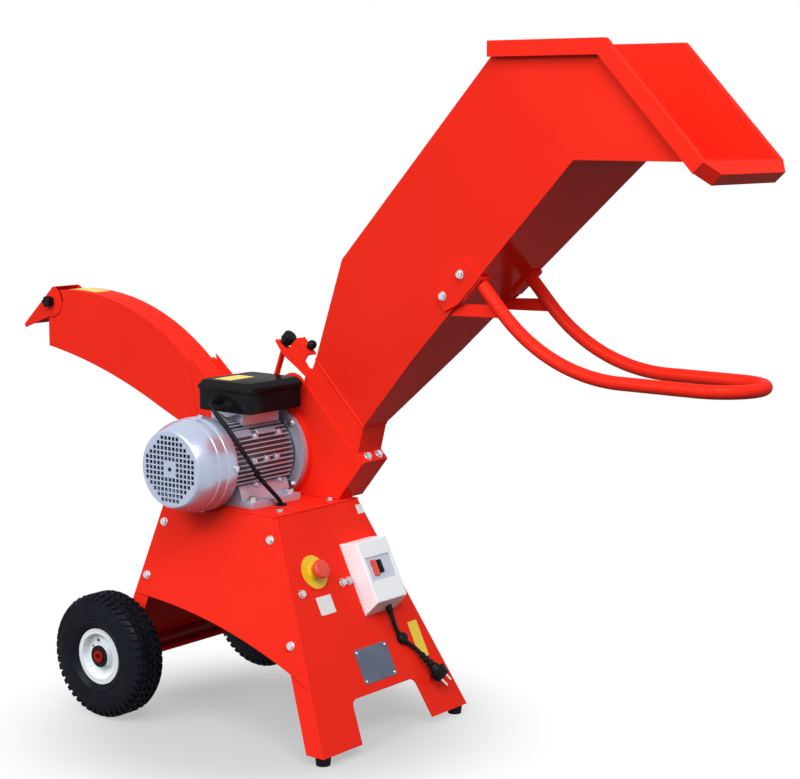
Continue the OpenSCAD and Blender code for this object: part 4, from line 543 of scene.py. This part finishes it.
# The frame's aluminium has painted shade on the barrel between its fins, darker toward the shaft.
fin_shaded_aluminium = finish("fin_shaded_aluminium", (0.62, 0.64, 0.76), (0.50, 0.52, 0.66), (0.26, 0.38),
                          patch=45, grain=700, depth=0.000012, height=painted_fin_shade, Metallic=0.45)
silver_paint = finish("silver_paint", (0.48, 0.54, 0.69), (0.44, 0.50, 0.65), (0.26, 0.32),
                      patch=14, grain=1400, depth=0.000003, Metallic=0.6,
                      **{"Coat Weight": 0.2, "Coat Roughness": 0.2})
dress(["motor_frame"], fin_shaded_aluminium, "motor_aluminium", 0.0005)
dress(["motor_foot", "drive_shield"], cast_aluminium, "motor_aluminium", 0.0005)
dress(["rear_shield"], silver_paint, "motor_aluminium", 0.0005)
cover_front = Vector((shaft_x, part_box("fan_cover")[0].y, shaft_z))
along_shaft = (0, 1, 0)
cover_sheet, grille_edge, slack = 0.002, 0.0742, 0.0001
cover_inside = [(0.0730, 0.0020), (0.0830, 0.0160), (0.0905, 0.0350), (0.0930, 0.0460),
                (0.0948, 0.0700), (0.0952, 0.0970)]
cover_outside = [(0.0967, 0.0970), (0.0970, 0.0960), (0.0970, 0.0712), (0.0966, 0.0702),
                 (0.0958, 0.0694), (0.0957, 0.0680), (0.0954, 0.0560), (0.0951, 0.0474),
                 (0.0947, 0.0464), (0.0939, 0.0456), (0.0937, 0.0440), (0.0930, 0.0390),
                 (0.0917, 0.0335), (0.0895, 0.0265), (0.0850, 0.0150), (0.0802, 0.0045),
                 (0.0786, 0.0018), (0.0770, 0.0006), (0.0755, 0.0001), (0.0738, 0.0000)]
cover_mesh = facets("fan_cover")
behind_grille = [v for v in cover_mesh.verts if v.co.y > cover_front.y + cover_sheet + slack
                 or math.hypot(v.co.x - shaft_x, v.co.z - shaft_z) > grille_edge]
bmesh.ops.delete(cover_mesh, geom=behind_grille, context="VERTS")
add_turned(cover_mesh, cover_inside + cover_outside, cover_front, along_shaft, sides=128,
           capped=False)
settle(made("fan_cover_shown", cover_mesh, crease=32), silver_paint, "machine", "motor_aluminium",
       "fan_cover")
button_profile = [(0.0044, 0.0004), (0.0042, -0.0006), (0.0034, -0.0010), (0, -0.0010)]
button_mesh = bmesh.new()
add_turned(button_mesh, button_profile, cover_front, along_shaft, sides=24)
settle(made("cover_centre_plug", button_mesh), black_plastic, "machine", "black_plastic")
dress(["motor_bolts"], zinc_steel, "zinc_steel", 0.0005)
boss_root, fin_tip = 0.079, 0.0875
boss_profile = [(0.0078, boss_root), (0.0066, fin_tip - 0.0010), (0.0058, fin_tip),
                (0.0034, fin_tip)]
screw_profile = [(0.0034, fin_tip - 0.0010), (0.0034, fin_tip + 0.0010), (0.0028, fin_tip + 0.0016),
                 (0, fin_tip + 0.0016)]
pad_profile = [(boss_root, -0.0008), (fin_tip - 0.0008, 0.0), (fin_tip, 0.0012)]
boss_spots = [(-0.077, 3), (-0.040, 3), (-0.008, 3), (-0.055, 38), (0.018, 38),
              (-0.055, -36), (0.018, -36)]
pad_spots = [(-0.124, -0.062, 39, 50), (-0.047, 0.010, 40, 48)]


def from_shaft(y, degrees, radius, turn):
    """Point round the motor's shaft: its place along it, its angle up from level and its distance,
    on the hopper's side where turn is 1 and on the chute's side where it is -1."""
    a = math.radians(degrees)
    return Vector((shaft_x + turn * radius * math.cos(a), y, shaft_z + radius * math.sin(a)))


cast_mesh, screw_mesh = bmesh.new(), bmesh.new()
for turn in (1, -1):
    for y, angle in boss_spots:
        centre = from_shaft(y, angle, 0, turn)
        outward = from_shaft(y, angle, 1, turn) - centre
        add_turned(cast_mesh, boss_profile, centre, outward, sides=24)
        add_turned(screw_mesh, screw_profile, centre, outward, sides=6)
    for y0, y1, low, high in pad_spots:
        levels = []
        for radius, inset in pad_profile:
            swing = math.degrees(inset / fin_tip)
            levels.append([cast_mesh.verts.new(from_shaft(y, a, radius, turn)) for y, a in (
                (y0 + inset, low + swing), (y1 - inset, low + swing),
                (y1 - inset, high - swing), (y0 + inset, high - swing))])
        add_skin(cast_mesh, levels)
settle(made("frame_bosses", cast_mesh), cast_aluminium, "machine", "motor_aluminium")
settle(made("boss_screws", screw_mesh), zinc_steel, "machine", "zinc_steel")
copper_winding = finish("copper_winding", (0.55, 0.24, 0.12), (0.40, 0.16, 0.08), (0.3, 0.5),
                        patch=80, grain=900, depth=0.0003, stretch=(1, 0.1, 1), Metallic=0.7)
grey_plastic = finish("grey_plastic", (0.16, 0.165, 0.175), (0.12, 0.125, 0.13), (0.38, 0.52),
                      patch=40, grain=1200, depth=0.00006)
recolour(["motor_shaft", "motor_bearings"], bright_steel)
recolour(["stator"], copper_winding)
recolour(["fan"], grey_plastic)


# Capacitor box: moulded black plastic with a bevelled lid, on a pad on the motor's top.
# A cable runs from its gland over the frame and through the top plate, with a tie on its way.
def add_loft(mesh, levels, middle):
    """Joins rounded rectangles, each with half its length and width, corner radius and height."""
    corner_steps = 6
    loops = []
    for half_x, half_y, corner, height in levels:
        loop = []
        for quarter, (sign_x, sign_y) in enumerate(((1, 1), (-1, 1), (-1, -1), (1, -1))):
            centre_x = middle.x + sign_x * (half_x - corner)
            centre_y = middle.y + sign_y * (half_y - corner)
            for k in range(corner_steps + 1):
                a = math.radians(90 * quarter + 90 * k / corner_steps)
                loop.append(mesh.verts.new((centre_x + corner * math.cos(a),
                                            centre_y + corner * math.sin(a), height)))
        loops.append(loop)
    add_skin(mesh, loops)


# Insets from the solid's sides and heights above its foot; a height of 1 stands for its top.
box_steps = [(0.0015, 0.0), (0.0004, 0.0005), (0, 0.002), (0, 1)]
lid_steps = [(0.0008, 0.0), (0, 0.0008), (0, 0.0072), (0.0004, 0.0082), (0.0012, 0.0092),
             (0.0088, 0.0190), (0.0096, 0.0196), (0.0110, 1)]
for node, corner, steps in (("capacitor_box", 0.012, box_steps),
                            ("capacitor_lid", 0.014, lid_steps)):
    low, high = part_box(node)
    half = (high - low) / 2
    levels = [(half.x - inset, half.y - inset, corner - 0.5 * inset, min(low.z + rise, high.z))
              for inset, rise in steps]
    shell_mesh = bmesh.new()
    add_loft(shell_mesh, levels, (low + high) / 2)
    settle(made(node + "_shown", shell_mesh, crease=50), black_plastic, "machine", "black_plastic",
           node)
recolour(["cable_glands"], black_plastic)
recolour(["capacitors"], grey_plastic)
cable_radius = 0.0045
cable_route = [Vector((shaft_x + x / 1000, y / 1000, z / 1000)) for x, y, z in (
    (4, -106, 664), (4, -114, 664), (5, -121, 662), (11, -126, 657), (21, -129, 648),
    (36, -131, 635), (54, -131, 621), (71, -131, 605), (85, -128, 587), (95, -122, 568),
    (102, -113, 550), (106, -101, 531), (109, -88, 512), (112, -72, 495), (114.5, -57, 480),
    (116, -44, 467), (116.5, -35, 456), (116.5, -32, 446), (117, -28, 432), (119, -19, 415),
    (124, -5, 397), (132, 12, 378), (145, 31, 360), (163, 49, 345), (184, 61, 334), (206, 67, 328),
    (228, 70, 327), (238, 70, 330))]
cable_mesh = bmesh.new()
add_tube(cable_mesh, smoothed(cable_route, steps=3), cable_radius, cord_sides)
settle(made("motor_lead", cable_mesh), black_rubber, "machine", "black_rubber", "motor_cable")
tie_profile = [(cable_radius, -0.0035), (0.0066, -0.0033), (0.0072, -0.0020), (0.0072, 0.0020),
               (0.0066, 0.0033), (cable_radius, 0.0035)]
tie_before, tie_after = cable_route[11:13]
tie_mesh = bmesh.new()
add_turned(tie_mesh, tie_profile, 0.5 * (tie_before + tie_after),
           (tie_after - tie_before).normalized(), sides=24)
settle(made("cable_tie", tie_mesh), black_plastic, "machine", "black_plastic")


# Cutting head: a welded steel housing with a bolted far cover, on a ring against the motor.
# Inside it a steel drum carries two knives past a fixed one.
dress(["motor_ring", "housing_shell", "housing_cover"], red_paint, "red_paint", 0.001)
dress(["head_bolts"], zinc_steel, "zinc_steel", 0.0004)
recolour(["cutter_drum", "knives", "counter_knife"], bright_steel)
recolour(["rotor_bolts"], zinc_steel)


# Hopper: folded steel sheet with a turned rim round its mouth, welded to a short throat.
# The weld stands proud under the paint.
dress(["hopper_throat"], red_paint, "red_paint", 0.0009)
head_y, infeed = 0.1234, math.radians(44.5)


def on_infeed(along, across, side):
    """Point about the shaft: along the feed, square to it, and sideways from the head's middle."""
    return Vector((shaft_x + along * math.cos(infeed) - across * math.sin(infeed), head_y + side,
                   shaft_z + along * math.sin(infeed) + across * math.cos(infeed)))


neck_end, in_plane = 0.4535, 0.00002
hopper_mesh = facets("hopper_neck", "hopper")
feed = on_infeed(1, 0, 0) - on_infeed(0, 0, 0)
joint = [f for f in hopper_mesh.faces
         if all(abs((v.co - on_infeed(neck_end, 0, 0)).dot(feed)) < in_plane for v in f.verts)]
bmesh.ops.delete(hopper_mesh, geom=joint, context="FACES")
settle(rounded("hopper_shown", hopper_mesh, 0.00025), red_paint, "machine", "red_paint",
       "hopper_neck", "hopper")
weld_along, beads, bead_radius, bead_rise = 0.2195, 60, 0.0021, 0.0005
throat_low, throat_high, throat_half = -0.1169, 0.0654, 0.0386
weld_corners = [(throat_low, -throat_half), (throat_high, -throat_half),
                (throat_high, throat_half), (throat_low, throat_half)]
bead_radii = [bead_radius + bead_rise * (k % 2) for k in range(beads + 1)]
weld_mesh = bmesh.new()
for (v0, y0), (v1, y1) in zip(weld_corners, weld_corners[1:] + weld_corners[:1]):
    weld_line = [on_infeed(weld_along, v0 + (v1 - v0) * k / beads, y0 + (y1 - y0) * k / beads)
                 for k in range(beads + 1)]
    add_tube(weld_mesh, weld_line, bead_radii, sides=10)
settle(made("throat_weld", weld_mesh, crease=60), red_paint, "machine", "red_paint")


# Handle: one steel tube, bent to a long loop under the hopper and sprayed red. Its ends
# are held in plates that are bolted to the hopper's walls.
handle_radius, handle_half, handle_sides = 0.013, 0.085, 48
handle_lean, handle_bend, handle_start, handle_level = math.radians(47), 0.365, 0.066, 0.152
handle_along, handle_gap = 0.675, 0.0075
bend_steps, loop_steps = 60, 64
leg_top = on_infeed(handle_along, throat_low - handle_gap, 0)
bend_top = leg_top + handle_start * Vector((math.cos(handle_lean), 0, -math.sin(handle_lean)))
bend_centre = bend_top + handle_bend * Vector((math.sin(handle_lean), 0, math.cos(handle_lean)))
bend_angles = [handle_lean * (1 - k / bend_steps) for k in range(bend_steps + 1)]
leg_line = [leg_top] + [bend_centre - handle_bend * Vector((math.sin(a), 0, math.cos(a)))
                        for a in bend_angles]
loop_centre = leg_line[-1] + Vector((handle_level, 0, 0))
loop_angles = [math.radians(-90 + 180 * k / loop_steps) for k in range(loop_steps + 1)]
sideways = Vector((0, handle_half, 0))
handle_line = [p - sideways for p in leg_line]
handle_line += [loop_centre + Vector((handle_half * math.cos(a), handle_half * math.sin(a), 0))
                for a in loop_angles]
handle_line += [p + sideways for p in reversed(leg_line)]
handle_mesh = bmesh.new()
add_tube(handle_mesh, handle_line, handle_radius, handle_sides)
settle(made("handle_bar", handle_mesh), red_paint, "machine", "red_paint", "handle_tube")
dress(["handle_brackets"], red_paint, "red_paint", 0.0009)


# Clamp: a plate and strap over the throat, drawn together by a black moulded knob, with
# a small ball knob on its locking screw.
dress(["clamp_plate", "clamp_strap"], red_paint, "red_paint", 0.0009)
knob_along, knob_across, knob_y = 0.1645, 0.1566, 0.107
stud_profile = [(0.0040, -0.0175), (0.0040, -0.0060), (0.0080, -0.0058), (0.0080, 0.0040)]
grip_profile = [(0.0080, 0.0040), (0.0138, 0.0042), (0.0148, 0.0052), (0.0150, 0.0070),
                (0.0150, 0.0195), (0.0147, 0.0215), (0.0138, 0.0231), (0.0122, 0.0239),
                (0.0060, 0.0240), (0, 0.0240)]
knob_place = on_infeed(knob_along, knob_across, knob_y - head_y)
knob_mesh = bmesh.new()
add_turned(knob_mesh, stud_profile, knob_place, feed, sides=32)
add_turned(knob_mesh, grip_profile, knob_place, feed, sides=96, flutes=12, flute_depth=0.0011)
settle(made("clamp_knob_shown", knob_mesh, crease=40), black_plastic, "clamp_knob",
       "black_plastic", "clamp_knob")
recolour(["lock_knob"], black_plastic)


# Chute: a bowed sheet duct in the housing's socket, with a hinged deflector on its end
# and a lobed black knob to hold it.
dress(["chute", "deflector"], red_paint, "red_paint", 0.0009)
dress(["deflector_knob"], black_plastic, "black_plastic", 0.0012)


# Controls: a white moulded switch box with stop and start keys in a pale window, and a
# mushroom emergency stop on a yellow disc.
white_plastic = finish("white_plastic", (0.86, 0.89, 0.92), (0.83, 0.86, 0.90), (0.30, 0.40),
                       patch=18, grain=1300, depth=0.000004)
window_plastic = finish("window_plastic", (0.60, 0.64, 0.76), (0.54, 0.58, 0.71), (0.2, 0.3),
                        patch=40, grain=1200, depth=0.00002)
red_plastic = finish("red_plastic", (0.80, 0.060, 0.030), (0.72, 0.045, 0.024), (0.28, 0.4),
                     patch=40, grain=1200, depth=0.00004)
yellow_plastic = finish("yellow_plastic", (0.82, 0.56, 0.02), (0.76, 0.50, 0.015), (0.34, 0.46),
                        patch=40, grain=1200, depth=0.00005)
dress(["switch_box"], white_plastic, "white_plastic", 0.0022)
dress(["switch_face"], window_plastic, "grey_plastic", 0.0006)
dress(["stop_button"], red_plastic, "red_plastic", 0.0008)
dress(["start_button"], black_plastic, "black_plastic", 0.0008)
recolour(["emergency_collar"], yellow_plastic)
recolour(["emergency_stem"], grey_plastic)
stop_place = on_panel(124, -77, 0)
stop_profile = [(0.0050, 0.0142), (0.0150, 0.0142), (0.0170, 0.0144), (0.0186, 0.0156),
                (0.0197, 0.0182), (0.0200, 0.0205), (0.0198, 0.0228), (0.0190, 0.0248),
                (0.0174, 0.0264), (0.0150, 0.0273), (0.0142, 0.0271), (0.0134, 0.0272),
                (0.0090, 0.0277), (0.0040, 0.0280), (0, 0.0280)]
stop_mesh = bmesh.new()
add_turned(stop_mesh, stop_profile, stop_place, panel_out, sides=64)
settle(made("emergency_head", stop_mesh), red_plastic, "emergency_button", "red_plastic",
       "emergency_button")


# Labels: a metal rating plate on four rivets, and thin plastic films that are stuck on the
# front panel, the capacitor box's lid and the chute.
plate_metal = finish("plate_metal", (0.11, 0.14, 0.20), (0.07, 0.09, 0.14), (0.24, 0.36),
                     patch=25, grain=500, depth=0.00001, stretch=(0.05, 1, 0.05), Metallic=0.4)
recolour(["rating_plate"], plate_metal)
rivet_profile = [(0.0029, 0.0010), (0.0028, 0.0018), (0.0022, 0.0024), (0.0012, 0.0027),
                 (0, 0.0028)]
rivet_mesh = bmesh.new()
for down in (304, 364):
    for across in (-41, 49):
        add_turned(rivet_mesh, rivet_profile, on_panel(down, across, 0), panel_out, sides=20)
settle(made("plate_rivets", rivet_mesh), bright_steel, "machine", "bright_steel")


def add_patch(mesh, corner, along, across, thick, up):
    """A thin film from one corner, with its edges turned down to the surface."""
    inset = 0.0004
    in_along, in_across = along.normalized() * inset, across.normalized() * inset
    low = [corner, corner + along, corner + along + across, corner + across]
    top = [low[0] + in_along + in_across, low[1] - in_along + in_across,
           low[2] - in_along - in_across, low[3] + in_along - in_across]
    add_skin(mesh, [[mesh.verts.new(p) for p in low],
                    [mesh.verts.new(p + up * thick) for p in top]])


def panel_patch(name, material, slot, down, across, size_down, size_across):
    """A film on the front panel, by its upper corner and its size in millimetres."""
    lift, thick = 0.02, 0.0004
    corner = on_panel(down, across, lift)
    along = on_panel(down + size_down, across, lift) - corner
    mesh = bmesh.new()
    add_patch(mesh, corner, along, Vector((0, size_across / 1000, 0)), thick, panel_out)
    settle(made(name, mesh), material, "machine", slot)


white_film = finish("white_film", (0.76, 0.77, 0.78), (0.72, 0.73, 0.74), (0.3, 0.4),
                    patch=30, grain=900, depth=0.00003)
yellow_film = finish("yellow_film", (0.84, 0.62, 0.03), (0.79, 0.56, 0.02), (0.3, 0.42),
                     patch=30, grain=900, depth=0.00003)
panel_patch("white_label", white_film, "white_plastic", 175, -99, 38, 45)
panel_patch("corner_label", white_film, "white_plastic", 11, 114, 20, 20)
panel_patch("yellow_label", yellow_film, "yellow_plastic", 277, 141, 78, 30)
lid_film_x, lid_film_y, lid_film_long, lid_film_wide = -0.198, -0.072, 0.044, 0.074
lid_film_lift, lid_film_thick = 0.00002, 0.0003
lid_corner = Vector((lid_film_x, lid_film_y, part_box("capacitor_lid")[1].z + lid_film_lift))
lid_patch = bmesh.new()
add_patch(lid_patch, lid_corner, Vector((lid_film_long, 0, 0)), Vector((0, lid_film_wide, 0)),
          lid_film_thick, Vector((0, 0, 1)))
settle(made("lid_label", lid_patch), yellow_film, "machine", "yellow_plastic")
film_start, film_step, film_steps = -0.828, 0.0075, 12
film_lines = (0.103, 0.105, 0.150, 0.152)
edge_lift, film_lift, above_chute = 0.00005, 0.0005, 1.0
chute_mesh = facets("chute")
chute_skin = BVHTree.FromBMesh(chute_mesh)
chute_mesh.free()
chute_patch = bmesh.new()
film_rows = []
for along in range(film_steps + 1):
    row = []
    for across in film_lines:
        spot = Vector((film_start + film_step * along, across, above_chute))
        hit = chute_skin.ray_cast(spot, Vector((0, 0, -1)))[0]
        at_edge = along in (0, film_steps) or across in (film_lines[0], film_lines[-1])
        lift = edge_lift if at_edge else film_lift
        row.append(chute_patch.verts.new(hit + Vector((0, 0, lift))))
    film_rows.append(row)
for low, high in zip(film_rows, film_rows[1:]):
    for k in range(len(film_lines) - 1):
        chute_patch.faces.new((low[k], low[k + 1], high[k + 1], high[k]))
settle(made("chute_label", chute_patch), yellow_film, "machine", "yellow_plastic")
